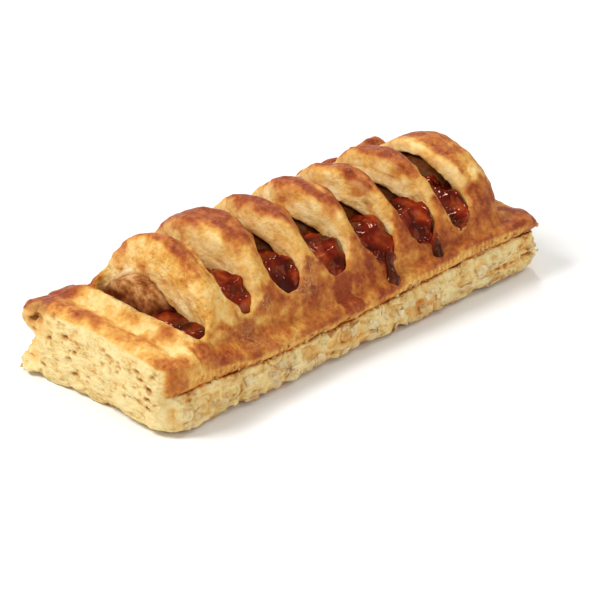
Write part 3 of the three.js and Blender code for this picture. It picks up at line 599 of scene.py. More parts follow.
def puff_pastry(name):
    """Layered dough, egg-washed and baked: a brown, faintly glossy crust and pale, matt, flaky cuts."""
    material, tree, surface, place = start_material(name)
    bake_and_shade, cut, depth, relief, frost, rib, sweep, pore, wet = (
        node(tree, "ShaderNodeAttribute", attribute_name=key).outputs["Fac"]
        for key in ("bake_and_shade", "cut", "depth", "relief", "frost", "rib", "sweep", "pore", "wet")
    )
    noise = {}
    for key, (size, detail, roughness, distortion, stretch) in PASTRY_NOISE.items():
        drawn_out = node(tree, VECTOR_MATH, (place, [1 / s for s in stretch]), operation="MULTIPLY")
        inputs = {"Detail": detail, "Roughness": roughness, "Distortion": distortion}
        noise[key] = node(tree, NOISE, {"Vector": drawn_out, "Scale": lump_scale(size), **inputs})
    streaks = streaks_of(tree, place, depth, sweep)
    on_rib = node(tree, MATH, (added_up(tree, -0.5, [(streaks, 1.0)]), rib), operation="MULTIPLY")

    # Crust: patches of browning with sharp rims, streaked on the ribs, blisters darker on top, and a
    # lace of dried egg wash.
    inputs = {"Vector": place, "Scale": 1 / (BLISTER_MM * MM), "Smoothness": 0.6, "Randomness": 1.0}
    blisters = node(tree, "ShaderNodeTexVoronoi", inputs, feature="SMOOTH_F1").outputs["Distance"]
    weights = [(noise["mottle"], 0.66), (noise["speckle"], 0.22), (on_rib, 0.4), (blisters, -0.16)]
    shade = added_up(tree, -0.38, [(bake_and_shade, 1.0), *weights])
    stops = [(0.02, STRAW), (0.26, GOLD), (0.5, AMBER), (0.74, RED_BROWN), (1.0, DARK)]
    crust = node(tree, RAMP, (shade,), stops)
    laced = node(tree, MAP_RANGE, (ridges_of(tree, noise["lace"]), 0.05, 0.0, 0.0, 0.6))
    laced = node(tree, MATH, (laced, frost), operation="MULTIPLY")
    crust = node(tree, MIX, {0: laced, 6: crust, 7: linear(FROST)}, data_type="RGBA")

    # Cut end: thin level layers, with small pits and blotches. Its tone follows the relief, darker in
    # the pits and hollows: painted shade in the recesses.
    layer_place = node(tree, JOIN, (added_up(tree, depth, [(noise["sideways"], 2.2)]),))
    inputs = {"Scale": 1 / (2 * LAYER_MM), "Detail": 2.0, "Roughness": 0.6}
    layers = node(tree, NOISE, {"Vector": layer_place, **inputs})
    hollow = ridges_of(tree, noise["walls"])
    weights = [(layers, 0.2), (noise["pits"], 0.26), (noise["blotches"], 0.54), (hollow, -0.4)]
    tone = added_up(tree, 0.03, [*weights, (relief, 0.1)])
    stops = [(0.26, RECESS_SHADE), (0.37, CRUMB_TAN), (0.46, CRUMB), (0.56, CRUMB_PALE)]
    end_crumb = node(tree, RAMP, (tone,), stops)

    # Side of a rib: long fine lines of dough that slid over each other, pale where they are thick, and
    # paler where the relief stands out: painted shade in the grooves.
    tone = added_up(tree, 0.0, [(streaks, 0.6), (relief, 0.12), (noise["blotches"], 0.4)])
    stops = [(0.3, LAYER_LINE), (0.4, LAYER_TAN), (0.48, LAYER_CREAM), (0.58, LAYER_PALE)]
    rib_crumb = node(tree, RAMP, (tone,), stops)
    crumb = node(tree, MIX, {0: rib, 6: end_crumb, 7: rib_crumb}, data_type="RGBA")

    # Toasted cut faces, soaked crust, and pores painted a darker brown: painted shade in the pores.
    toast = added_up(tree, -0.45, [(bake_and_shade, 1.0), (noise["blotches"], 0.9)])
    toast = node(tree, MAP_RANGE, (toast, 0.05, 0.6))
    toasted = node(tree, MIX, {0: toast, 6: crumb, 7: crust}, data_type="RGBA")
    colour = node(tree, MIX, {0: cut, 6: crust, 7: toasted}, data_type="RGBA")
    soaked = node(tree, MAP_RANGE, (noise["mottle"], 0.3, 0.6, 0.95, 0.6))
    soaked = node(tree, MATH, (wet, soaked), operation="MULTIPLY")
    colour = node(tree, MIX, {0: soaked, 6: colour, 7: linear(SOAKED_RED)}, data_type="RGBA")
    pore_shade_share = node(tree, MATH, (pore, 0.9), operation="MULTIPLY")
    colour = node(tree, MIX, {0: pore_shade_share, 6: colour, 7: linear(PORE_SHADE)}, data_type="RGBA")

    bumps = [(noise["wrinkle"], 1.0), (blisters, -0.5), (on_rib, 0.4), (laced, 0.5)]
    end_bumps = [(layers, 0.4), (noise["pits"], 0.5), (hollow, -1.2)]
    rib_bumps = [(streaks, 0.5), (noise["wrinkle"], 0.5)]
    bumps, end_bumps, rib_bumps = (added_up(tree, 0.0, parts) for parts in (bumps, end_bumps, rib_bumps))
    cut_bumps = node(tree, MIX, {0: rib, 2: end_bumps, 3: rib_bumps})
    height = node(tree, MIX, {0: cut, 2: bumps, 3: cut_bumps})
    feed(tree, surface, {
        "Base Color": colour,
        "Roughness": added_up(tree, node(tree, MAP_RANGE, {0: cut, 3: 0.38, 4: 0.9}), [(wet, -0.2)]),
        "Specular IOR Level": 0.3,
        "Specular Tint": (1.0, 0.82, 0.62, 1.0),
        "Subsurface Weight": 0.06,
        "Subsurface Radius": (1.0, 0.6, 0.3),
        "Subsurface Scale": 1.2 * MM,
        "Normal": node(tree, BUMP, {"Strength": 0.9, "Distance": 0.8 * MM, "Height": height}),
    })
    return material


PASTRY = puff_pastry("baked puff pastry")

# %% [markdown]
# ## The lid
# The lid's field is the largest of four distances: above its top, below its underside, outside its
# outline and inside a slit. Rounding each meeting softens the edges as the oven does. Then relief is
# added: lumps and wrinkles on the crust, ridged layers on the cut faces, and pores cut out of them.

# %% Relief of crust and cut faces
SLIT_EDGE_ROUND, END_EDGE_ROUND, CEILING_EDGE_ROUND, SEAM_EDGE_ROUND = 2.0, 1.2, 1.2, 0.05
RELIEF_BAND = 2.5  # relief is worked out only this close to the smooth surface
LAYER_RELIEF_MM = 1.9  # spacing of the bundles of layers that stand out
FLUTE_MM = 1.9  # spacing of the flutes along the pressed edge
RIB_LAYER_MM = 2.2
ARCH_MM = 24.0  # turns an angle round the dome into a distance along a rib
RIBS_END_X = 70.0


def layered(depth, x, y, z, seed):
    """Bundles of layers that stand out from a cut face, from -1 to 1."""
    wavy = 1.1 * grain(x, y, z, 11, seed) + 0.5 * grain(x, y, z, 3.5, seed + 1)
    strength = 0.65 + 0.35 * grain(x, y, z, 6, seed + 2)
    return np.sin(2 * math.pi * (depth / LAYER_RELIEF_MM + wavy)) * strength


def torn_relief(depth, x, y, z):
    """A cut face: soft lumps and faint layers. Both sheets share it, so it runs on across the seam."""
    lumps = 0.4 * grain(x, y, z, 4.2, 24) + 0.2 * grain(x, y, z, 1.6, 25)
    webs = 0.25 - abs(grain(0.7 * x, 0.7 * y, 1.4 * z, 2.6, 27))
    return 0.12 * layered(depth, x, y, z, 21) + lumps + 0.8 * webs


def along_arch(x, y, z):
    """How far a place lies from the crest, measured along its rib."""
    return ARCH_MM * np.arctan2(y - axis_y(x), np.maximum(z - DOME_SPRING, 1.0))


def rib_layers(depth, x, sweep):
    """The layers on the faces between ribs: a few long soft ridges that follow the arch."""
    wavy = 0.3 * grain(x, depth, sweep / 3, 5, 26)
    ridge = 1 - abs(np.sin(math.pi * (depth / RIB_LAYER_MM + wavy)))
    ridge = ridge * (0.5 + 0.7 * grain(x, depth, sweep / 3, 3.4, 29))
    rough = 0.22 * grain(x, depth, sweep / 2, 1.3, 28) + 0.4 * grain(x, depth, sweep / 2, 3.0, 30)
    return 0.42 * ridge - 0.15 + rough


def across_rib(x, y):
    """0 on the near edge of a rib and 1 on its far edge."""
    past, before = np.full(np.shape(x), 99.0), np.maximum(0.0, RIBS_END_X - x)
    for slit in SLITS:
        middle, opening, _ = slit_at(slit, y)
        away = x - middle
        past = np.where(away > 0, np.minimum(past, np.maximum(0, away - opening / 2)), past)
        before = np.where(away <= 0, np.minimum(before, np.maximum(0, -away - opening / 2)), before)
    return np.clip(past / np.maximum(past + before, 0.1), 0, 1)


def crust_relief(x, y, z, drop, sweep):
    """Blisters and folds of the crust. On a rib the folds run along it."""
    on_rib = ease(-56, -50, x) * ease(27, 22, abs(y - axis_y(x)))
    folds = grain(x, 0 * x, sweep / 5, 1.9, 13) * (0.6 + 0.6 * drop)
    blisters = 0.55 * grain(x, y, z, 5.5, 11) + 0.34 * grain(x, y, z, 2.4, 12)
    blisters = blisters + 0.2 * grain(x, y, z, 1.3, 14)
    swells = 0.8 * grain(x, y, z, 8.5, 15)
    return lerp(blisters, 0.8 * blisters + 0.32 * folds + swells, on_rib)


def joined_end(x, y):
    """1 where the two sheets baked into one cut face, on the near end but for its +Y corner."""
    return ease(-72, -77, x) * ease(28, 22, y) * ease(-31.5, -29, y)


def end_face(z):
    """How far that one face stands out, from the foot of the base to the top of the lid."""
    return 1.1 * np.sin(math.pi * np.clip(z / NEAR_PLATEAU, 0, 1)) ** 0.7


def cut_share(x, y, z, top, outline, slits):
    """1 on a cut face and 0 on the crust: a face counts as cut where it lies below the crust's edge."""
    on_a_rib = ease(-62, -59, x) * ease(66, 60, x)
    deeper = on_a_rib * (0.9 + 2.0 * ease(-47, -52, x) + 2.6 * grain(x, y, z, 4.2, 35))
    under_crust = ease(0.3 + np.maximum(0, deeper), 1.5 + 1.6 * np.maximum(0, deeper), top - z)
    at_end = ease(-2.2, -0.8, outline) * ease(74, 78, abs(x)) * ease(-31, -28.5, y)
    in_slit = ease(-2.0, -0.8, -slits)
    return under_crust * np.maximum(at_end, in_slit)


def rolled_open(x, y):
    """1 where the crust opened along a rib's near edge, so that the layers show above the cut face."""
    share = 0.0
    ragged = 1.4 * grain(x, y, 0, 4, 34)
    for slit in SLITS:
        middle, opening, still_open = slit_at(slit, y)
        near_side = (x > middle) * still_open * ease(2.8, 0.8, x - middle - opening / 2 + ragged)
        share = np.maximum(share, near_side)
    return share * ease(27, 20, abs(y - axis_y(x))) * ease(-52, -47, x)


def flutes(x, y, z):
    """Short upright folds along the pressed long edges."""
    waver = 0.5 * grain(x, y, z, 5, 36)
    return np.sin(2 * math.pi * (x / FLUTE_MM + waver)) * (0.6 + 0.4 * grain(x, y, z, 7, 37))


def in_bubble(x, y, z, half):
    """How far out in a bubble a place lies: 0 in its middle and 1 on its wall."""
    return np.sqrt((x / half[0]) ** 2 + (y / half[1]) ** 2 + (z / half[2]) ** 2)


def carve_pores(field, block, pores):
    """Cuts small bubbles out of the dough. A pore is its middle, its half sizes and its tilt."""
    for middle, half, tilt in pores:
        reach = max(half) + block.step
        spans = [
            slice(max(0, int((m - reach - low) / block.step)), int((m + reach - low) / block.step) + 2)
            for m, low in zip(middle, block.low)
        ]
        x, y = block.x[spans[0]] - middle[0], block.y[:, spans[1]] - middle[1]
        z = block.z[:, :, spans[2]] - middle[2] - tilt * (x + y)
        bubble = in_bubble(x, y, z, half) + 0.4 * grain(x, y, z, 0.9, 38)
        here = field[spans[0], spans[1], spans[2]]
        here[...] = np.maximum(here, (1 - bubble) * min(half))


# %% Shape of the lid
LID_STEP = 0.7
LID_SPACE = (-84.6, -35.0, 8.0), (83.4, 35.0, 48.0)
END_FACE_X = 81.2  # the cut ends, where the pores are


def lid_bottom(x, y):
    flat = seam(x, y) + SHEET_GAP / 2 - JOINED_OVERLAP * joined_end(x, y)
    middle, opening, _ = slit_at(SLITS[0], y)
    hanging_lip = 4.8 * ease(-45, -51, x) * ease(2, -8, y - axis_y(x))
    return np.where(x < middle - opening / 2, flat, np.maximum(flat, cavity(x, y) - hanging_lip))


def at_drawn_corner(x, y):
    """1 at the near end's +Y corner, which is drawn out to a point."""
    return ease(10, 28, y) * ease(-60, -76, x)


def lid_side(x, y, z, share):
    """How far the lid's edge stands out at a share of its height."""
    tuck = lerp(-0.4, -2.6, at_drawn_corner(x, y))
    puff = lerp(0.3, 1.3, ease(HALF_LENGTH - 10, HALF_LENGTH - 2, abs(x)))
    own_side = tuck * (1 - share) ** 2 + puff * np.sin(math.pi * share)
    return lerp(own_side, end_face(z), joined_end(x, y))


def corner_folds(x, y, z):
    """Creases where the crust folds down over the near corner."""
    low = ease(-22, -26, y) * ease(16.5, 19.5, z)
    return low * (0.3 * hump(x, -70, 1.6) - 0.6 * hump(x, -65.5, 0.9) - 0.4 * hump(x, -72.6, 0.8))


def near_end_ridges(x, y):
    """Two long soft folds across the flat near end, with a valley between them."""
    bent = x + 1.2 * grain(x, y, 0, 9, 39)
    ridges = 0.8 * hump(bent, -75.8, 2.2) - 0.9 * hump(bent, -70.2, 1.7) + 0.7 * hump(bent, -65.4, 2.2)
    return ridges * ease(-27, -21, y) * ease(26, 18, y) * (0.8 + 0.4 * grain(x, y, 0, 6, 40))


def lid_relief(x, y, z, top, plain_top, outline, slits):
    """How far the surface stands out from its smooth form."""
    drop, _ = rib_form(x, y)
    sweep = along_arch(x, y, z)
    crust = crust_relief(x, y, z, drop, sweep) + corner_folds(x, y, z) + near_end_ridges(x, y)
    edge = ease(-1.2, -0.2, outline) * ease(76, 72, abs(x)) * ease(1.0, 2.6, top - z)
    crust = crust + 0.2 * flutes(x, y, z) * edge
    cut = cut_share(x, y, z, top, outline, slits)
    opened = np.maximum(cut, 0.6 * rolled_open(x, y))
    layers = rib_layers(plain_top - z, x, sweep)
    at_end = ease(72, 76, abs(x))
    torn = lerp(layers, torn_relief(-z, x, y, z), at_end)
    return lerp(crust, torn, np.maximum(cut, opened))


def lid_field(block):
    x, y = block.plan
    top, plain_top = lid_heights(x, y)
    bottom = lid_bottom(x, y)
    outline, slits = outline_distance(x, y), nearest_slit(x, y)
    share = np.clip((block.z - bottom[:, :, None]) / (top - bottom)[:, :, None], 0, 1)
    side = outline[:, :, None] - lid_side(block.x, block.y, block.z, share)
    above = (block.z - top[:, :, None]) * steepness(top, block.step)[:, :, None]
    below = (bottom[:, :, None] - block.z) * steepness(bottom, block.step)[:, :, None]
    field = soft_max(side, above, END_EDGE_ROUND)
    field = soft_max(field, -slits[:, :, None], SLIT_EDGE_ROUND)
    rounding = np.where(slits < 8, CEILING_EDGE_ROUND, SEAM_EDGE_ROUND)
    field = soft_max(field, below, rounding[:, :, None])

    at, (px, py, pz) = block.near_surface(field, RELIEF_BAND)
    top, plain_top, outline, slits, bottom = (v[at[:2]] for v in (top, plain_top, outline, slits, bottom))
    relief = lid_relief(px, py, pz, top, plain_top, outline, slits)
    field[at] -= relief * ease(-0.5, 0.5, pz - bottom)
    return field


# The pores that show on the near end: across the roll, height and half size.
NEAR_END_PORES = [
    (26.2, 22.9, 1.7), (23.9, 21.0, 1.8), (22.0, 23.6, 1.2), (26.4, 19.6, 1.3), (25.1, 16.6, 0.9),
    (18.7, 15.7, 0.8), (12.1, 18.2, 0.9), (16.9, 23.4, 0.8), (21.6, 6.1, 1.2), (26.0, 2.3, 0.8),
    (8.2, 7.2, 1.1), (2.2, 8.2, 0.8), (2.8, 6.3, 0.6), (13.9, 3.3, 0.6), (-6.8, 18.8, 0.8),
    (-11.2, 18.2, 0.6), (-11.6, 17.0, 0.7), (-19.5, 18.8, 0.9), (-0.6, 10.7, 0.6), (-4.1, 9.4, 0.5),
    (-9.5, 10.5, 0.7), (-13.1, 11.6, 0.5), (-18.9, 13.6, 0.6), (-27.4, 20.6, 0.6), (-26.5, 19.3, 0.7),
    (-25.0, 15.1, 1.3), (-24.5, 11.9, 0.9), (-29.9, 18.6, 0.5), (-19.6, 9.9, 0.8), (-20.5, 9.3, 0.8),
    (-21.8, 9.1, 0.8), (-24.4, 8.8, 1.1), (-13.9, 8.9, 0.7), (-16.6, 9.7, 0.7), (-6.6, 5.0, 0.8),
    (-4.0, 6.3, 0.5), (-1.2, 3.8, 0.6), (-1.3, 6.6, 0.4), (-0.8, 23.1, 0.5), (-2.6, 23.8, 0.4),
    (-7.5, 24.4, 0.7), (-2.8, 19.9, 0.4), (-13.2, 23.9, 0.5), (-30.2, 16.5, 0.6),
]


def end_pores(seed, count, x, low_z, high_z, half_y):
    """Pores in a cut end, flat as the layers are, most of them small."""
    draw = np.random.default_rng(seed)
    pores = []
    for _ in range(count):
        size = 0.35 + 0.45 * draw.random() ** 3
        middle = (x + draw.uniform(-0.6, 0.9), draw.uniform(-half_y, half_y), draw.uniform(low_z, high_z))
        pores.append((middle, (1.6 * size, 1.3 * size, 0.62 * size), draw.uniform(-0.3, 0.3)))
    return pores


def near_face_pores():
    """The pores that show, and smaller ones between them."""
    shown = []
    for y, z, size in NEAR_END_PORES:
        flatness = 0.4 + 0.25 * ease(12, 17, z)
        shown.append(((-END_FACE_X, y, z), (1.4 * size, 1.15 * size, flatness * size), 0.2))
    return shown + end_pores(31, 16, -END_FACE_X, 1.5, 23.5, 29.0)


def pore_share(points, pores):
    """1 inside a pore, and 0 outside all of them."""
    share = np.zeros(len(points))
    for middle, half, tilt in pores:
        at = np.nonzero(abs(points - middle).max(1) < 2 * max(half))[0]
        x, y, z = (points[at] - middle).T
        bubble = in_bubble(x, y, z - tilt * (x + y), half)
        share[at] = np.maximum(share[at], ease(1.8, 1.0, bubble))
    return share


NEAR_PORES = near_face_pores()
FAR_PORES = end_pores(32, 90, END_FACE_X, 1.5, 18.5, 28.0)

lid_block = Block(*LID_SPACE, LID_STEP)
lid_shape = lid_field(lid_block)
carve_pores(lid_shape, lid_block, NEAR_PORES + FAR_PORES)
lid_points, lid_quads = lid_block.skin(lid_shape)


# %% [markdown]
# ### How far the crust is baked
# Egg-washed dough browns where it is thin, where it stands up into the heat and where sauce has run
# over it. So the ribs' far shoulders and crests, the pressed long edges and the ends are the darkest,
# and the hollows beside the slits stay gold. The dark line over the seam and the darker recesses of the
# cut faces are painted shade.


# %% Browning of the lid
# Darker and paler strips of the near end's top: x and y where a strip starts and ends, width, browning.
NEAR_END_STRIPS = [
    ((-81, 28), (-56, 27.5), 5.0, 0.34), ((-76.5, 20), (-73, 18.5), 3.0, 0.3),
    ((-70.2, 19.3), (-69.5, 19), 1.6, -0.25), ((-72.7, 12), (-71, 14), 2.4, 0.2),
    ((-76.8, 12), (-76.5, 6), 2.0, 0.36), ((-76, 2), (-73, -8.5), 2.1, 0.3),
    ((-78, -6), (-77, -13), 1.8, 0.18), ((-72.7, -11.4), (-73.5, -21), 2.0, 0.28),
    ((-72, -22), (-71, -25), 2.0, -0.2),
    ((-74.7, 8.6), (-70.5, -2), 1.2, 0.14), ((-70.5, -2), (-70.6, -15.6), 1.2, 0.14),
    ((-71.3, 1.2), (-68, -12), 1.8, -0.22), ((-65.4, -14.2), (-67.7, -18.9), 1.8, 0.22),
    ((-66, 15), (-64, 0), 2.2, -0.18), ((-63.7, -2), (-62.8, -24), 1.8, -0.14),
    ((-78.5, -27), (-72.8, -31), 3.2, 0.45), ((-69.3, -27), (-69, -31), 1.7, -0.16),
    ((-65.5, -25), (-65.5, -33), 0.8, 0.35), ((-63, -28.5), (-51, -28.5), 3.6, 0.4),
]


def path_distance(x, y, path):
    """How far a plan point lies outside a path of varying half width."""
    nearest = np.full(np.shape(x + y), 99.0)
    for start, end in zip(path, path[1:]):
        share, away = along_line(x, y, start[:2], end[:2])
        nearest = np.minimum(nearest, away - lerp(start[2], end[2], share))
    return nearest


def near_end_toast(x, y):
    """How much darker or paler the near end's top is than the rest."""
    x, y = x + 1.3 * grain(x, y, 0, 3.4, 44), y + 1.6 * grain(x, y, 0, 3.8, 45)
    total = 0.0
    for start, end, width, amount in NEAR_END_STRIPS:
        _, away = along_line(x, y, start, end)
        total = total + 0.9 * amount * hump(away, 0, 1.1 * width)
    return total * (1 + 0.3 * grain(x, y, 0, 1.6, 46))


# Sauce soaked into the crust below the fourth slit: points x and y, and half width.
SOAKED = [(-2.8, -22.5, 2.4), (-3.2, -27.0, 4.0), (-0.6, -30.5, 2.6)]


def soaked(x, y, z):
    """1 where sauce soaked into the crust."""
    away = path_distance(x, y, SOAKED) + 2.6 * grain(x, y, z, 2.8, 50) + 1.6 * grain(x, y, z, 1.2, 51)
    return ease(0.9, -1.1, away)


def rim_toast(x, y, z):
    """1 in the browned band of the -Y rim, which gets wider past the first two slits."""
    start = -24.5 + 2.6 * ease(-38, -30, x) + 1.4 * grain(x, y, z, 3.2, 47)
    start = start + 0.8 * grain(x, y, z, 1.4, 48)
    return ease(start + 1.2, start - 1.2, y) * ease(-66, -56, x)


DARKEST_BAKE = 0.74


def lid_attributes(points):
    """What the shader needs to know of each point of the lid."""
    x, y, z = points.T
    top, plain_top = lid_heights(x, y)
    outline, slits = outline_distance(x, y), nearest_slit(x, y)
    cut = cut_share(x, y, z, top, outline, slits)
    sweep = along_arch(x, y, z)
    dy = y - axis_y(x)
    relief = lid_relief(x, y, z, top, plain_top, outline, slits)
    patches = grain(x, y, z, 6.0, 41) + 0.7 * grain(x, y, z, 2.6, 42)
    streaks = grain(x, 0 * x, sweep / 3, 2.8, 43) + 0.5 * grain(x, 0 * x, sweep / 3, 1.3, 44)
    on_ribs = ease(-58, -52, x) * ease(25, 21, abs(dy))
    crest = ease(23, 8, abs(dy))
    across = across_rib(x, y)
    sunny = ease(-0.05, 0.3, across + 0.14 * streaks)
    bake_and_shade = 0.2 + (0.15 + 0.1 * on_ribs * crest) * patches + 0.1 * relief
    bake_and_shade = bake_and_shade + on_ribs * (0.06 * streaks + sunny * (0.06 + crest * (0.44 + 0.18 * streaks)))
    bake_and_shade = bake_and_shade - 0.11 * ease(52, 58, x) * ease(25, 21, abs(dy)) - 0.06 * on_ribs * ease(-40, -46, x)
    back_flange = ease(19, 26, y)
    far_end = ease(62, 72, x)
    rim = rim_toast(x, y, z)
    for share, amount in ((rim, 0.4), (back_flange, 0.44), (far_end, 0.1)):
        bake_and_shade = bake_and_shade + amount * share * (1 + 0.15 * patches)
    bake_and_shade = bake_and_shade + ease(-54, -62, x) * (near_end_toast(x, y) + 0.04)
    edge_band = ease(-1.2, 0.2, outline) * ease(76, 72, abs(x))
    bake_and_shade = lerp(bake_and_shade, 0.34 + 0.1 * patches + 0.14 * flutes(x, y, z), edge_band * ease(1.2, 2.4, top - z))
    folded = ease(-28.5, -30, y) * ease(14.5, 16, z) * ease(-80, -78, x)
    bake_and_shade = lerp(bake_and_shade, 0.62 + 0.12 * patches, folded * ease(-71.5, -73, x))
    below_first_slit = ease(-27, -28.5, y) * ease(16.5, 17.5, z) * hump(x, -57.5, 6) ** 2
    bake_and_shade = lerp(bake_and_shade, 0.66 + 0.12 * patches, below_first_slit)
    bake_and_shade = np.minimum(bake_and_shade, DARKEST_BAKE)
    # Darker at the foot of the lid's edge, just over the seam: painted shade in the groove between the
    # sheets.
    bake_and_shade = lerp(bake_and_shade, 0.58, edge_band * ease(0.8, 0.1, z - seam(x, y)))
    frost = rim * ease(-50, -42, x) * ease(-8, -16, x) * ease(-0.1, 0.5, grain(x, y, z, 6, 49))
    wet = soaked(x, y, z) * ease(13, 14.5, z)
    bake_and_shade = lerp(bake_and_shade, 0.66 + 0.1 * patches, wet)
    in_rib = ease(72, 66, abs(x))
    pale = np.maximum(cut, 0.5 * rolled_open(x, y))
    # The near face's upper +Y corner and the ribs' recessed cut faces are darker: painted shade.
    corner_shade = 0.06 + 0.3 * ease(15, 23, y) * ease(12, 18, z)
    pale_bake = lerp(corner_shade, np.clip(0.22 + 0.12 * patches - 0.3 * relief, 0, 1), in_rib)
    return {
        "bake_and_shade": lerp(np.clip(bake_and_shade, 0, 1), pale_bake, pale), "cut": pale, "rib": in_rib, "sweep": sweep,
        "depth": lerp(plain_top - z, -z, 1 - in_rib), "relief": np.clip(relief, -1, 1),
        "frost": np.clip(frost, 0, 1), "wet": wet, "pore": pore_share(points, NEAR_PORES + FAR_PORES),
    }


lid = make_piece("pastry_lid_baked", lid_points, lid_quads, PASTRY, lid_attributes(lid_points))
fit(lid, "pastry_crust", "pastry_lid")

# %% [markdown]
# ## The base
# The lower sheet is a slab whose cut sides flared out under the weight of the lid. Its sides are all
# cut faces, so the layers run round it in level bands, and pores line up along them.

# %% Shape of the base
BASE_STEP = 0.62
BASE_SPACE = (-85.4, -36.0, -1.2), (84.8, 36.0, 17.0)
BASE_EDGE_ROUND, FOOT_EDGE_ROUND = 0.5, 1.4
BASE_RELIEF_BAND = 3.0


def base_side(x, y, z, share):
    """How far the base's edge stands out at a share of its height."""
    flare = 1.5 * np.sin(math.pi * share**0.8) - 0.5 * share**3 - 1.1 * (1 - share) ** 3
    pointed = lerp(2.4, -3.4, share**1.2)
    return lerp(lerp(flare, pointed, at_drawn_corner(x, y)), end_face(z), joined_end(x, y))


def foot_height(x, y, outline):
    """The underside lifts off the table here and there along its edge."""
    lift = 1.2 + 1.3 * grain(x, y, 0, 9, 57) + 0.5 * grain(x, y, 0, 3, 58)
    return np.maximum(0, lift) * ease(-6.5, 0.5, outline)


def base_relief(x, y, z):
    """Torn layers, and on the long sides coarse flakes that lie over each other."""
    torn = torn_relief(-z, x, y, z)
    shards = 1.0 * ((2.2 * grain(x, y, 1.4 * z, 6.0, 54)) % 1.0) + 0.5 * grain(x, y, 1.4 * z, 2.4, 55)
    flakes = shards - 0.6 + 0.8 * grain(x, y, z, 6, 56)
    return lerp(0.5 * torn + flakes - 0.9 * parting(x, z), torn, joined_end(x, y))


def parting(x, z):
    """Towards the far end the base parted into two layers, with a darker groove between: painted shade.
    """
    line = 6.8 + 0.04 * (x - 60) + 0.7 * grain(x, 0, 0, 5, 59)
    return hump(z, line, 0.55) * ease(50, 60, x) * (0.7 + 0.5 * grain(x, 0, 0, 1.4, 60))


def base_field(block):
    x, y = block.plan
    top = seam(x, y) - SHEET_GAP / 2 + JOINED_OVERLAP * joined_end(x, y)
    outline = outline_distance(x, y)
    share = np.clip(block.z / top[:, :, None], 0, 1)
    side = outline[:, :, None] - base_side(block.x, block.y, block.z, share)
    rounding = lerp(BASE_EDGE_ROUND, SEAM_EDGE_ROUND, joined_end(x, y))
    field = soft_max(side, block.z - top[:, :, None], rounding[:, :, None])
    foot = foot_height(x, y, outline)[:, :, None] + 0.02
    field = soft_max(field, foot - block.z, FOOT_EDGE_ROUND)
    at, (px, py, pz) = block.near_surface(field, BASE_RELIEF_BAND)
    field[at] -= base_relief(px, py, pz) * ease(-3.0, -1.0, outline[at[:2]]) * ease(0.0, 1.2, pz)
    return field


def base_attributes(points):
    """What the shader needs to know of each point of the base, which is a cut face all round."""
    x, y, z = points.T
    relief = base_relief(x, y, z)
    patches = grain(x, y, z, 5, 61)
    # Recessed flakes are browner than those that stand out: painted shade in the hollows of the cut
    # sides.
    bake_and_shade = 0.2 + 0.1 * patches - 0.2 * relief + 0.24 * ease(2.0, 0.4, z)
    # Darker just under the lid and along the parting line: painted shade in the seam and in the groove.
    bake_and_shade = bake_and_shade + 0.3 * ease(-1.0, -0.2, z - seam(x, y)) + 0.25 * parting(x, z)
    bake_and_shade = lerp(bake_and_shade, 0.06, joined_end(x, y))
    nothing = np.zeros(len(x))
    return {
        "bake_and_shade": np.clip(bake_and_shade, 0, 1), "cut": nothing + 1, "depth": -z, "relief": np.clip(relief, -1, 1),
        "frost": nothing, "rib": nothing, "sweep": nothing, "wet": nothing,
        "pore": pore_share(points, NEAR_PORES + FAR_PORES),
    }


base_block = Block(*BASE_SPACE, BASE_STEP)
base_shape = base_field(base_block)
carve_pores(base_shape, base_block, NEAR_PORES + FAR_PORES)
base_points, base_quads = base_block.skin(base_shape)
base = make_piece("pastry_base_baked", base_points, base_quads, PASTRY, base_attributes(base_points))
fit(base, "pastry_crumb", "pastry_base")

# %% [markdown]
# ## The sausage
# A sausage follows a rule: one round section, swept along a line and drawn in at both ends. Geometry
# Nodes do just that. A line gets points, each point a radius, and a circle is swept along it. The
# tree has named inputs for its sizes, and ends by giving the mesh its material.


# %% Sausage meat
UNDERSIDE_SHADE_FROM_MM, UNDERSIDE_SHADE_BELOW_MM = 29.5, 26.2  # heights between which the meat is painted darker towards its underside: painted shade
STAINED_FROM_X, STAINED_PAST_X = -56.0, -50.0  # sauce stains it past the first slit


def cooked_meat(name):
    """Fried and baked minced meat: coarse, speckled, moist, sauce-stained, with painted shade below."""
    material, tree, surface, place = start_material(name)
    coarse = {"Vector": place, "Scale": lump_scale(1.5), "Detail": 2.0, "Roughness": 0.6}
    coarse = node(tree, NOISE, coarse)
    along, _, up = node(tree, SPLIT, (place,)).outputs
    stops = [(0.3, "6a3414"), (0.42, "965828"), (0.54, "b8824c"), (0.66, "d0a474")]
    meat = node(tree, RAMP, (coarse,), stops)
    # The meat is darker towards its underside: painted shade, not a change in the meat.
    painted_underside_shade = node(tree, MAP_RANGE, (up, UNDERSIDE_SHADE_FROM_MM * MM, UNDERSIDE_SHADE_BELOW_MM * MM, 0.0, 0.85))
    painted_underside_shade = {0: painted_underside_shade, 6: meat, 7: linear("a4602e")}
    meat = node(tree, MIX, painted_underside_shade, data_type="RGBA", blend_type="MULTIPLY")
    stained = node(tree, MAP_RANGE, (along, STAINED_FROM_X * MM, STAINED_PAST_X * MM))
    share = node(tree, MATH, (stained, 0.85), operation="MULTIPLY")
    feed(tree, surface, {
        "Base Color": node(tree, MIX, {0: share, 6: meat, 7: linear("54240c")}, data_type="RGBA"),
        "Roughness": node(tree, MAP_RANGE, {0: stained, 3: 0.6, 4: 0.14}),
        "Specular IOR Level": 0.4,
        "Specular Tint": (1.0, 0.72, 0.45, 1.0),
        "Normal": node(tree, BUMP, {"Strength": 0.6, "Distance": 0.6 * MM, "Height": coarse}),
    })
    return material


MEAT = cooked_meat("baked sausage meat")


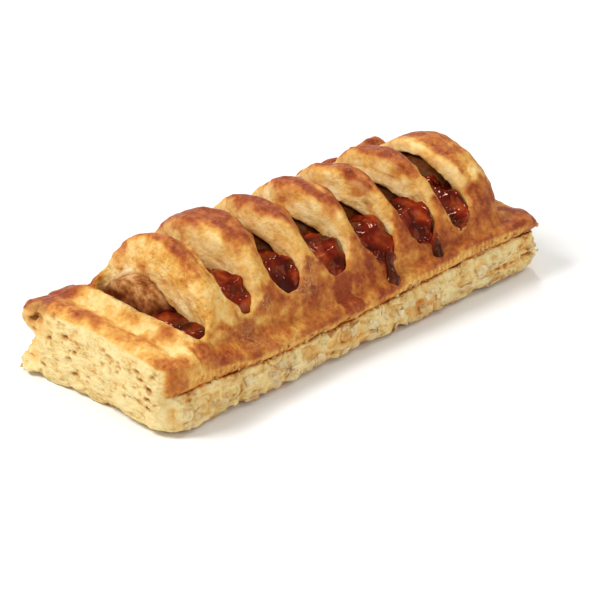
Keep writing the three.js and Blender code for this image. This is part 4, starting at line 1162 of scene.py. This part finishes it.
# %% Geometry Nodes helpers
def start_geometry(name, sizes):
    """A new tree with one named input for each size. Returns it, its inputs and their identifiers."""
    tree = bpy.data.node_groups.new(name, "GeometryNodeTree")
    tree.interface.new_socket(name="Geometry", in_out="INPUT", socket_type="NodeSocketGeometry")
    keys = {}
    for key, value in sizes.items():
        kind = "NodeSocketInt" if isinstance(value, int) else "NodeSocketFloat"
        socket = tree.interface.new_socket(name=key, in_out="INPUT", socket_type=kind)
        socket.default_value = value
        keys[key] = socket.identifier
    tree.interface.new_socket(name="Geometry", in_out="OUTPUT", socket_type="NodeSocketGeometry")
    given = tree.nodes.new("NodeGroupInput")
    return tree, given.outputs, keys


def end_geometry(tree, geometry, material):
    """Realizes what the tree made, gives it its material and hands it out."""
    whole = node(tree, "GeometryNodeRealizeInstances", (geometry,))
    dressed = node(tree, "GeometryNodeSetMaterial", {0: whole, "Material": material})
    node(tree, "NodeGroupOutput", (dressed,))


def grow(name, tree, keys, sizes, carrier=None):
    """Runs a tree on a carrier mesh with the given sizes. Returns the result as a plain mesh piece."""
    host = put_in_scene(name + "_host", carrier or bpy.data.meshes.new(name + "_host"))
    modifier = host.modifiers.new("grow", "NODES")
    modifier.node_group = tree
    for key, value in sizes.items():
        modifier[keys[key]] = value
    evaluated = host.evaluated_get(bpy.context.evaluated_depsgraph_get())
    mesh = bpy.data.meshes.new_from_object(evaluated)
    host.modifiers.remove(modifier)
    bpy.data.objects.remove(host)
    mesh.name = name
    print(f"{name}: {len(mesh.vertices)} points, {len(mesh.polygons)} faces")
    return put_in_scene(name, mesh)


# %% The sausage's tree
RINGS, RING_POINTS = 300, 96
CAP_RINGS = 0.15  # share of the rings that lie on the rounded near end
# Only the open end is coarse. Past the first slit the skin is smoother.
SKINNED_FROM_X, SKINNED_PAST_X, SKINNED_COARSENESS = -56.0, -48.0, 0.35


def closer_on_the_cap(tree, share, given, whole):
    """Where a ring of the line goes, so that more of the rings lie on the rounded near end."""
    on_cap, beyond = share, share
    for operation, value in (("DIVIDE", CAP_RINGS), ("MINIMUM", 1.0), ("MULTIPLY", math.pi / 2)):
        on_cap = node(tree, MATH, (on_cap, value), operation=operation)
    for operation, value in (("SUBTRACT", CAP_RINGS), ("MAXIMUM", 0.0), ("DIVIDE", 1 - CAP_RINGS)):
        beyond = node(tree, MATH, (beyond, value), operation=operation)
    cosine = node(tree, MATH, (on_cap,), operation="COSINE")
    on_cap = node(tree, MATH, (1.0, cosine), operation="SUBTRACT")
    body_length = node(tree, MATH, (whole, given["Near rounding"]), operation="SUBTRACT")
    return added_up(tree, given["Near end"], [(on_cap, given["Near rounding"]), (beyond, body_length)])


def ring_radius(tree, near_gap, far_gap, given):
    """1 along the body, and drawn in as a quarter circle at both ends."""
    inwards = 1.0
    for gap, rounding in ((near_gap, "Near rounding"), (far_gap, "Far rounding")):
        reached = node(tree, MATH, (gap, given[rounding]), operation="DIVIDE")
        inwards = node(tree, MATH, (inwards, reached), operation="MINIMUM")
    short = node(tree, MATH, (1.0, inwards), operation="SUBTRACT")
    squared = node(tree, MATH, (short, short), operation="MULTIPLY")
    left = node(tree, MATH, (1.0001, squared), operation="SUBTRACT")
    return node(tree, MATH, (left,), operation="SQRT")


def sausage_tree():
    tree, given, keys = start_geometry("Sausage", {
        "Near end": 0.0, "Far end": 0.1, "Half width": 0.012, "Half height": 0.01, "Near rounding": 0.007,
        "Far rounding": 0.007, "Height": 0.02, "Middle rise": 0.0, "Far rise": 0.0, "Side at middle": 0.0,
        "Turn": 0.0, "Aside": 0.002, "Coarseness": 0.0004,
    })
    ends = [node(tree, JOIN, (given[key],)) for key in ("Near end", "Far end")]
    line = node(tree, "GeometryNodeCurvePrimitiveLine", {"Start": ends[0], "End": ends[1]})
    line = node(tree, "GeometryNodeResampleCurve", {0: line, "Count": RINGS})
    along = node(tree, SPLIT, (node(tree, POSITION),))
    near_gap = node(tree, MATH, (along, given["Near end"]), operation="SUBTRACT")
    far_gap = node(tree, MATH, (given["Far end"], along), operation="SUBTRACT")
    whole = node(tree, MATH, (given["Far end"], given["Near end"]), operation="SUBTRACT")
    share = node(tree, MATH, (near_gap, whole), operation="DIVIDE")
    closer = node(tree, JOIN, (closer_on_the_cap(tree, share, given, whole),))
    line = node(tree, MOVE, {0: line, "Position": closer})
    radius = ring_radius(tree, near_gap, far_gap, given)
    line = node(tree, "GeometryNodeSetCurveRadius", {0: line, "Radius": radius})
    ring = node(tree, "GeometryNodeCurvePrimitiveCircle", {"Resolution": RING_POINTS, "Radius": 1.0})
    body = node(tree, "GeometryNodeCurveToMesh", {0: line, 1: ring, "Fill Caps": True})

    # The straight round rod is widened, turned, moved aside and raised.
    position = node(tree, POSITION)
    x, y, z = node(tree, SPLIT, (position,)).outputs
    span = (x, ASIDE_FROM_X * MM, ASIDE_PAST_X * MM)
    aside = node(tree, MAP_RANGE, span, interpolation_type="SMOOTHSTEP")
    parts = [(y, given["Half width"]), (x, given["Turn"]), (aside, given["Aside"])]
    side = added_up(tree, given["Side at middle"], parts)
    height = added_up(tree, given["Height"], [(z, given["Half height"])])
    rises = zip(SAUSAGE_HEIGHTS[::2], SAUSAGE_HEIGHTS[1::2], ("Middle rise", "Far rise"))
    for (x0, _), (x1, _), key in rises:
        span = (x, (x0 + SHIFT_X) * MM, (x1 + SHIFT_X) * MM)
        risen = node(tree, MAP_RANGE, span, interpolation_type="SMOOTHSTEP")
        height = added_up(tree, height, [(risen, given[key])])
    body = node(tree, MOVE, {0: body, "Position": node(tree, JOIN, (x, side, height))})

    # The meat is lumpy, and its open end most of all.
    coarse = {"Vector": position, "Scale": lump_scale(1.9), "Detail": 1.0}
    coarse = added_up(tree, -0.55, [(node(tree, NOISE, coarse), 1.0)])
    push = node(tree, MATH, (coarse, given["Coarseness"]), operation="MULTIPLY")
    skinned = (x, SKINNED_FROM_X * MM, SKINNED_PAST_X * MM, 1.0, SKINNED_COARSENESS)
    push = node(tree, MATH, (push, node(tree, MAP_RANGE, skinned)), operation="MULTIPLY")
    outwards = {0: node(tree, "GeometryNodeInputNormal"), "Scale": push}
    outwards = node(tree, VECTOR_MATH, outwards, operation="SCALE")
    body = node(tree, MOVE, {0: body, "Offset": outwards})
    body = node(tree, "GeometryNodeMergeByDistance", {0: body, "Distance": 0.05 * MM})
    end_geometry(tree, body, MEAT)
    return tree, keys


tree, keys = sausage_tree()
sausage = grow("sausage_link", tree, keys, {
    "Near end": (SAUSAGE_NEAR_X + SHIFT_X) * MM, "Far end": (SAUSAGE_FAR_X + SHIFT_X) * MM,
    "Half width": SAUSAGE_HALF_WIDTH * MM, "Half height": SAUSAGE_HALF_HEIGHT * MM,
    "Near rounding": SAUSAGE_NEAR_ROUNDING * MM, "Far rounding": SAUSAGE_FAR_ROUNDING * MM,
    "Height": SAUSAGE_HEIGHTS[0][1] * MM,
    "Middle rise": (SAUSAGE_HEIGHTS[1][1] - SAUSAGE_HEIGHTS[0][1]) * MM,
    "Far rise": (SAUSAGE_HEIGHTS[3][1] - SAUSAGE_HEIGHTS[2][1]) * MM,
    "Side at middle": (AXIS_Y_AT_MIDDLE + SHIFT_Y - AXIS_TURN * SHIFT_X) * MM, "Turn": AXIS_TURN,
    "Aside": SAUSAGE_ASIDE * MM, "Coarseness": 1.2 * MM,
})
sausage.data.shade_smooth()
fit(sausage, "sausage", "sausage")

# %% [markdown]
# ## The sauce
# Tomato sauce boiled up between the ribs and dried there: a glossy, lumpy skin, dark and thick at the
# rims, red and clear where it is thin. It is made as a field too, because it has to fill uneven slits
# and lie against the sausage.


# %% Tomato sauce
def tomato_sauce(name):
    """Boiled-down tomato sauce: a wet, thick, dark red gel, so sharp lights on a soft body."""
    material, tree, surface, place = start_material(name)
    thin, burnt_and_shade = (
        node(tree, "ShaderNodeAttribute", attribute_name=key).outputs["Fac"] for key in ("thin", "burnt_and_shade")
    )
    cloud = node(tree, NOISE, {"Vector": place, "Scale": lump_scale(3.0), "Detail": 2.0})
    fine = node(tree, NOISE, {"Vector": place, "Scale": lump_scale(1.1), "Detail": 1.0})
    stops = [(0.34, "3c0200"), (0.46, "620800"), (0.56, "842008"), (0.68, "a44616")]
    colour = node(tree, RAMP, (cloud,), stops)
    share = node(tree, MATH, (thin, 0.8), operation="MULTIPLY")
    colour = node(tree, MIX, {0: share, 6: colour, 7: linear("963a12")}, data_type="RGBA")
    # Darkest where the sauce is burnt, and in the creases and the first slit, where the dark colour is
    # painted shade.
    feed(tree, surface, {
        "Base Color": node(tree, MIX, {0: burnt_and_shade, 6: colour, 7: linear("2e0e05")}, data_type="RGBA"),
        "Roughness": added_up(tree, node(tree, MAP_RANGE, {0: burnt_and_shade, 3: 0.09, 4: 0.26}), [(thin, 0.25)]),
        "Specular IOR Level": 0.42,
        "Specular Tint": (1.0, 0.5, 0.28, 1.0),
        "Subsurface Weight": 0.15,
        "Subsurface Radius": (1.0, 0.15, 0.05),
        "Subsurface Scale": 1.5 * MM,
        "Normal": node(tree, BUMP, {"Strength": 0.2, "Distance": 0.4 * MM, "Height": fine}),
    })
    return material


SAUCE = tomato_sauce("boiled-down tomato sauce")

# %% Shape of the sauce
SAUCE_STEP = 0.6
SAUCE_SPACE = (-64.0, -30.0, 8.6), (62.0, 27.0, 40.0)
SAUCE_DEPTH_IN_SLIT, SAUCE_LEVEL, SAUCE_LEVEL_AT_FIRST_SLIT = 2.6, 33.0, 24.8
SAUCE_CLEAR_OF_LID, SAUCE_WELL, SAUCE_WELL_WALL = 1.2, 10.5, 2.0
SAUCE_EDGE_ROUND = 1.6
INTO_THE_RIB = 0.4  # the sauce sticks to the faces of the slits


def sausage_distance(x, y, z):
    """About how far a place lies outside the sausage, negative inside."""
    across = (y - sausage_y(x)) / SAUSAGE_HALF_WIDTH
    up = (z - sausage_z(x)) / SAUSAGE_HALF_HEIGHT
    near = 1 + (SAUSAGE_NEAR_X - x) / SAUSAGE_NEAR_ROUNDING
    far = 1 + (x - SAUSAGE_FAR_X) / SAUSAGE_FAR_ROUNDING
    past = np.maximum(0, np.maximum(near, far))
    return (np.sqrt(across**2 + up**2 + past**2) - 1) * SAUSAGE_HALF_HEIGHT


def sauce_level(x, y):
    """Height of the sauce in a slit, and a share that is 1 beside the sausage and 0 over its middle. The
    sauce ran over the sausage's -Y side, except in the first slit."""
    at_first = ease(4, 2, slit_distance(x, y, SLITS[0]))
    highest = lerp(SAUCE_LEVEL, SAUCE_LEVEL_AT_FIRST_SLIT, at_first)
    highest = highest - 6 * at_first * ease(0, 6, y - sausage_y(x))
    lumps = 1.5 * grain(x, y, 0, 5.0, 81) * lerp(1, 0.5, at_first)
    level = np.maximum(np.minimum(dome(x, y) - SAUCE_DEPTH_IN_SLIT, highest), flange(x, y) - 1.6) + lumps
    dy = y - sausage_y(x)
    round_off = np.sqrt(np.maximum(0, 1 - (dy / SAUSAGE_HALF_WIDTH) ** 2))
    sausage_top = sausage_z(x) + SAUSAGE_HALF_HEIGHT * round_off
    run_over = ease(-4, -9, dy) * ease(-50, -46, x)
    level = lerp(level, np.maximum(level, sausage_top + 0.5 + 0.6 * lumps), run_over)
    sunk = ease(SAUCE_WELL - SAUCE_WELL_WALL, SAUCE_WELL, abs(dy))
    return lerp(sausage_z(x), level, np.maximum(sunk, run_over)), sunk


def sauce_blobs(x, y, z):
    """Rounded lumps with sharp creases between them, as boiled sauce dries."""
    big = 0.5 - 1.6 * abs(grain(x, y, z, 4.4, 84)) ** 1.4
    small = 0.3 - abs(grain(x, y, z, 1.9, 85))
    return 1.1 * big + 0.8 * small


def sauce_field(block):
    x, y = block.plan
    level, sunk = sauce_level(x, y)
    slits = nearest_slit(x, y)
    under = lerp(sausage_z(x), cavity(x, y) - SAUCE_CLEAR_OF_LID, sunk)
    under = np.minimum(under, SAUCE_LEVEL_AT_FIRST_SLIT + 1.2 * np.maximum(0, x + 52))
    bottom = seam(x, y) + SHEET_GAP
    ends = np.maximum(SLITS[0][0] - x, x - 51.5)
    above = (block.z - level[:, :, None]) * 0.8
    in_slit = soft_max(above, (slits - INTO_THE_RIB)[:, :, None], SAUCE_EDGE_ROUND)
    below_ribs = np.maximum(block.z - under[:, :, None], ends[:, :, None])
    field = np.minimum(in_slit, below_ribs)
    at, places = block.near_surface(field, RELIEF_BAND)
    field[at] -= sauce_blobs(*places) * lerp(0.5, 1.0, ease(-55, -48, places[0]))
    field = np.maximum(field, bottom[:, :, None] - block.z)
    return np.maximum(field, -0.4 - sausage_distance(block.x, block.y, block.z))


sauce_block = Block(*SAUCE_SPACE, SAUCE_STEP)
sauce_points, sauce_quads = sauce_block.skin(sauce_field(sauce_block))
# The creases between the lumps and the whole first slit are darkened: painted shade.
hollow = ease(0.3, -0.9, sauce_blobs(*sauce_points.T))
painted_shade_in_first_slit = ease(-50, -54, sauce_points[:, 0])
sauce_shades = {"thin": 0.3 * hollow, "burnt_and_shade": np.maximum(0.3 * hollow, 0.28 * painted_shade_in_first_slit)}
sauce = make_piece("sauce_filling", sauce_points, sauce_quads, SAUCE, sauce_shades)
fit(sauce, "tomato_sauce", "sauce")

# %% [markdown]
# ### Sauce that ran over the rim
# Below two slits the sauce boiled over, dripped and dried black. Each drip is a thin skin on the lid:
# where the lid's field is within the sauce's thickness and the place lies on the drip's path. The
# lid's own field is used again, so the skin follows every blister.

# %% Drips
DRIPS = [  # the path of each: points x, y and half width
    [(16.9, -27.4, 1.4), (16.5, -28.6, 1.7), (16.3, -29.5, 2.3)],
    [(36.2, -28.4, 1.2), (36.3, -28.9, 1.6), (36.4, -29.3, 2.0)],
]
DRIP_THICKNESS, DRIP_DEPTH, DRIP_LOWEST = 1.9, 0.9, 12.5
DRIP_ROUNDING = 1.8  # how far in from its edge a drip has its full thickness
DRIP_BURNT = 0.85
DRIP_MARGIN = 7.0


def drip_skin(number, path):
    """The skin of one drip, cut out of the lid's block."""
    low = np.min(path, 0)[:2] - DRIP_MARGIN
    high = np.max(path, 0)[:2] + DRIP_MARGIN
    first = [max(0, int((v - o) / LID_STEP)) for v, o in zip(low, lid_block.low)]
    last = [int((v - o) / LID_STEP) for v, o in zip(high, lid_block.low)]
    part = (slice(first[0], last[0]), slice(first[1], last[1]), slice(0, None))
    lid_part = lid_shape[part]
    x, y, z = lid_block.x[part[0]], lid_block.y[:, part[1]], lid_block.z
    edge = path_distance(x, y, path) + 0.8 * grain(x, y, 0 * x, 2.6, 90 + number)
    edge = edge + 0.5 * grain(x, y, 0 * x, 1.2, 93 + number)
    lumps = 0.5 * grain(x, y, z, 2.0, 95 + number) + 0.6 * grain(x, y, z, 1.1, 98 + number)
    rounded = np.sqrt(np.clip(-edge / DRIP_ROUNDING, 0, 1))
    skin = np.maximum(lid_part - DRIP_THICKNESS * rounded * (1 + lumps), edge - 0.3)
    skin = np.maximum(skin, -DRIP_DEPTH - lid_part)
    skin = np.maximum(skin, -nearest_slit(x[:, :, 0], y[:, :, 0])[:, :, None] - INTO_THE_RIB)
    skin = np.maximum(skin, DRIP_LOWEST - z)
    origin = lid_block.low + np.array([first[0], first[1], 0]) * LID_STEP
    points, count = surface_points(skin, origin, LID_STEP)
    return largest_body(keep_in_box(points), surface_quads(skin, count))


def all_drips():
    """The points and quads of all drips, and how burnt each point is: most at the tips."""
    points, quads, burnt_and_shade, so_far = [], [], [], 0
    for number, path in enumerate(DRIPS):
        drip_points, drip_quads = drip_skin(number, path)
        points.append(drip_points)
        quads.append(drip_quads + so_far)
        burnt_and_shade.append(DRIP_BURNT * ease(path[0][1] + 1.2, path[0][1] - 1.2, drip_points[:, 1]))
        so_far += len(drip_points)
    return [np.concatenate(v) for v in (points, quads, burnt_and_shade)]


drip_points, drip_quads, drip_burnt = all_drips()
drip_shades = {"thin": 0 * drip_burnt, "burnt_and_shade": drip_burnt}
drips = make_piece("sauce_runs", drip_points, drip_quads, SAUCE, drip_shades)
fit(drips, "tomato_sauce")


# %% [markdown]
# ## Flakes and crumbs
# The cut sides shed thin flakes that lie over each other, and crumbs stick where the lid meets the base.
# Each kind is one small shape, repeated at random places, so one tree scatters them both: it drops
# points on a patch of the finished surface, turns the shape to face outwards, and gives each copy its
# own tilt and size. The seeds are fixed.


# %% A tree that scatters a small shape
def scatter_tree(name, shape, material):
    tree, given, keys = start_geometry(name, {
        "Per square metre": 1e5, "Size": 0.002, "Smallest": 0.5, "Tilt": 0.3, "Spin": 0.3, "Seed": 1,
    })
    drop = {"Mesh": given["Geometry"], "Density": given["Per square metre"], "Seed": given["Seed"]}
    spots = node(tree, "GeometryNodeDistributePointsOnFaces", drop).outputs
    facing = node(tree, "FunctionNodeAlignRotationToVector", {"Vector": spots["Normal"]}, axis="Z")
    level = {"Rotation": facing, "Vector": (1.0, 0.0, 0.0)}
    facing = node(tree, "FunctionNodeAlignRotationToVector", level, axis="X", pivot_axis="Z")

    most = node(tree, JOIN, (given["Tilt"], given["Tilt"], given["Spin"]))
    least = node(tree, VECTOR_MATH, {0: most, "Scale": -1.0}, operation="SCALE")
    drawn = {0: least, 1: most, "Seed": given["Seed"]}
    turn = node(tree, "FunctionNodeRandomValue", drawn, data_type="FLOAT_VECTOR")
    turn = {"Rotation": facing, "Rotate By": node(tree, "FunctionNodeEulerToRotation", (turn,))}
    facing = node(tree, "FunctionNodeRotateRotation", turn, rotation_space="LOCAL")

    drawn = {2: given["Smallest"], 3: 1.0, "Seed": given["Seed"]}
    size = node(tree, "FunctionNodeRandomValue", drawn, data_type="FLOAT")
    size = node(tree, MATH, (size, given["Size"]), operation="MULTIPLY")
    copies = {"Points": spots["Points"], "Instance": shape(tree), "Rotation": facing, "Scale": size}
    copies = node(tree, "GeometryNodeInstanceOnPoints", copies)
    end_geometry(tree, node(tree, "GeometryNodeSetShadeSmooth", (copies,)), material)
    return tree, keys


def patch(name, points, quads, chosen):
    """The chosen faces of a finished surface, for things to lie on."""
    kept = quads[chosen]
    used, numbered = np.unique(kept, return_inverse=True)
    mesh = bpy.data.meshes.new(name)
    placed = (points[used] + (SHIFT_X, SHIFT_Y, 0)) * MM
    mesh.from_pydata(placed.tolist(), [], numbered.reshape(kept.shape).tolist())
    return mesh


def press_into_box(piece):
    """Presses what stands out of the solid model's box back into it."""
    low, high = (np.array(corner) for corner in SOLID_BOX)
    spots = np.empty(len(piece.data.vertices) * 3)
    piece.data.vertices.foreach_get("co", spots)
    spots = np.clip(spots.reshape(-1, 3), low + BOX_MARGIN_MM * MM, high - BOX_MARGIN_MM * MM)
    piece.data.vertices.foreach_set("co", spots.ravel())


def rumpled(tree, body, size, amount):
    """Moves the points of a small shape about, so that it is uneven."""
    noise = {"Vector": node(tree, POSITION), "Scale": 1 / size, "Detail": 1.0}
    noise = node(tree, NOISE, noise).outputs["Color"]
    push = node(tree, VECTOR_MATH, (noise, (0.5, 0.5, 0.5)), operation="SUBTRACT")
    push = node(tree, VECTOR_MATH, {0: push, "Scale": amount}, operation="SCALE")
    return node(tree, MOVE, {0: body, "Offset": push})


# %% Flakes on the cut sides
def pastry_shred(name, tones):
    """A shred of dough, so thin that light comes through its rim. tones go from dark to pale."""
    material, tree, surface, place = start_material(name)
    tone = {"Vector": place, "Scale": lump_scale(2.2), "Detail": 4.0, "Roughness": 0.65}
    stops = list(zip((0.34, 0.45, 0.55, 0.66), tones))
    fine = node(tree, NOISE, {"Vector": place, "Scale": lump_scale(0.5), "Detail": 3.0})
    feed(tree, surface, {
        "Base Color": node(tree, RAMP, (node(tree, NOISE, tone),), stops),
        "Roughness": 0.6,
        "Specular IOR Level": 0.3,
        "Subsurface Weight": 0.15,
        "Subsurface Radius": (1.0, 0.7, 0.4),
        "Subsurface Scale": 1.0 * MM,
        "Normal": node(tree, BUMP, {"Strength": 0.5, "Distance": 0.2 * MM, "Height": fine}),
    })
    return material


def flake(tree):
    """A thin slip of dough, 1 long, curled a little at its ends."""
    size = {"Size": (1.0, 0.6, 0.05), "Vertices X": 7, "Vertices Y": 5, "Vertices Z": 2}
    body = node(tree, "GeometryNodeMeshCube", size)
    x = node(tree, SPLIT, (node(tree, POSITION),))
    curl = node(tree, MATH, (node(tree, MATH, (x, x), operation="MULTIPLY"), -0.3), operation="MULTIPLY")
    body = node(tree, MOVE, {0: body, "Offset": node(tree, JOIN, {2: curl})})
    return rumpled(tree, body, 0.5, 0.25)


FLAKE = pastry_shred("thin pastry flake", ("c2935a", "d6b27a", "e2c692", "eedcb2"))
tree, keys = scatter_tree("Flakes", flake, FLAKE)
face_x, face_y, face_z = base_points[base_quads].mean(1).T
on_sides = ((abs(face_y) > 31.4) | (face_x > 79.6)) & (face_z > 1.5) & (face_z < 10.5) & (face_x > -74)
sides = patch("cut_sides", base_points, base_quads, on_sides)
flakes = grow("pastry_flakes", tree, keys, {
    "Per square metre": 52000.0, "Size": 5.2 * MM, "Smallest": 0.35,
    "Tilt": 0.11, "Spin": 0.35, "Seed": 4,
}, sides)
press_into_box(flakes)
fit(flakes, "pastry_crumb")


# %% Crumbs
def crumb_lump(tree):
    body = node(tree, "GeometryNodeMeshIcoSphere", {"Radius": 0.5, "Subdivisions": 2})
    return rumpled(tree, body, 0.6, 0.7)


CRUMB_OF_CRUST = pastry_shred("toasted pastry crumb", ("8a5424", "b07a3c", "c89a58", "d8b47c"))
tree, keys = scatter_tree("Crumbs", crumb_lump, CRUMB_OF_CRUST)
face_x, face_y, face_z = lid_points[lid_quads].mean(1).T
over_seam = face_z - seam(face_x, face_y)
on_ledge = (face_y < -31.2) & (over_seam > 0.2) & (over_seam < 2.2) & (face_x > -66)
places = patch("crumb_places", lid_points, lid_quads, on_ledge)
crumbs = grow("pastry_crumbs", tree, keys, {
    "Per square metre": 90000.0, "Size": 1.7 * MM, "Smallest": 0.35,
    "Tilt": 1.5, "Spin": 3.0, "Seed": 9,
}, places)
press_into_box(crumbs)
fit(crumbs, "pastry_crumb")


# %% [markdown]
# ## Floor, light and camera
# The roll lies on a plain pale floor under soft studio light: one large soft lamp on the left that
# shows the layers of the cut end, a weaker one in front, two small ones behind for the lights on the
# sauce, and a bright room around it.


# %% Floor
FLOOR_HALF_SIZE = 1.5  # metres


def plain_floor():
    """Matt pale paper, which takes soft shadows and adds no gloss."""
    material, tree, surface, _ = start_material("pale matt floor")
    feed(tree, surface, {"Base Color": linear("f4f4f2"), "Roughness": 0.9})
    mesh = bpy.data.meshes.new("floor")
    half = FLOOR_HALF_SIZE
    corners = [(-half, -half, 0), (half, -half, 0), (half, half, 0), (-half, half, 0)]
    mesh.from_pydata(corners, [], [(0, 1, 2, 3)])
    mesh.materials.append(material)
    floor = put_in_scene("floor", mesh)


plain_floor()

# %% Lights
room = bpy.data.worlds.new("bright room")
bpy.context.scene.world = room
room.use_nodes = True
room.node_tree.nodes["Background"].inputs["Color"].default_value = (1.0, 1.0, 1.0, 1.0)
room.node_tree.nodes["Background"].inputs["Strength"].default_value = 0.45


def soft_lamp(name, azimuth, elevation, distance, size, power):
    """A square lamp that looks at the roll. Azimuth 0 is at -Y, and 90 at -X."""
    light = bpy.data.lights.new(name, "AREA")
    light.size, light.energy = size, power
    lamp = put_in_scene(name, light)
    a, e = math.radians(azimuth), math.radians(elevation)
    away = Vector((-math.sin(a) * math.cos(e), -math.cos(a) * math.cos(e), math.sin(e)))
    lamp.location = away * distance
    lamp.rotation_euler = away.to_track_quat("Z", "Y").to_euler()


soft_lamp("key", 118, 50, 0.9, 0.32, 6.3)
soft_lamp("fill", 10, 30, 1.0, 0.6, 1.8)
soft_lamp("glint", 224, 48, 1.0, 0.14, 2.4)
soft_lamp("second_glint", 300, 46, 1.0, 0.12, 1.5)
bpy.context.scene.view_settings.view_transform = "Standard"

# %% Camera
IMAGE_PX = 600
FOCAL_PX = 2885.0
SENSOR_MM = 36.0
CAMERA_AZIMUTH, CAMERA_ELEVATION, CAMERA_DISTANCE = 44.40, 26.90, 900.0  # degrees, mm
LOOK_AT = Vector((0.0, 0.0, 15.0))
LOOK_AT_PX = (288.8, 273.3)  # where that point lies in the image


def place_camera():
    a, e = math.radians(CAMERA_AZIMUTH), math.radians(CAMERA_ELEVATION)
    right = Vector((math.cos(a), -math.sin(a), 0))
    level = Vector((math.sin(a), math.cos(a), 0))
    ahead = level * math.cos(e) - Vector((0, 0, math.sin(e)))
    up = level * math.sin(e) + Vector((0, 0, math.cos(e)))
    off_x, off_y = (IMAGE_PX / 2 - px for px in LOOK_AT_PX)
    aim = (ahead * FOCAL_PX + right * off_x - up * off_y).normalized()
    lens = bpy.data.cameras.new("camera")
    lens.sensor_width = SENSOR_MM
    lens.lens = FOCAL_PX / IMAGE_PX * SENSOR_MM
    lens.clip_start = 0.05
    camera = put_in_scene("camera", lens)
    target = (LOOK_AT + Vector((SHIFT_X, SHIFT_Y, 0))) * MM
    camera.location = target - ahead * CAMERA_DISTANCE * MM
    camera.rotation_euler = aim.to_track_quat("-Z", "Y").to_euler()
    bpy.context.scene.camera = camera


place_camera()
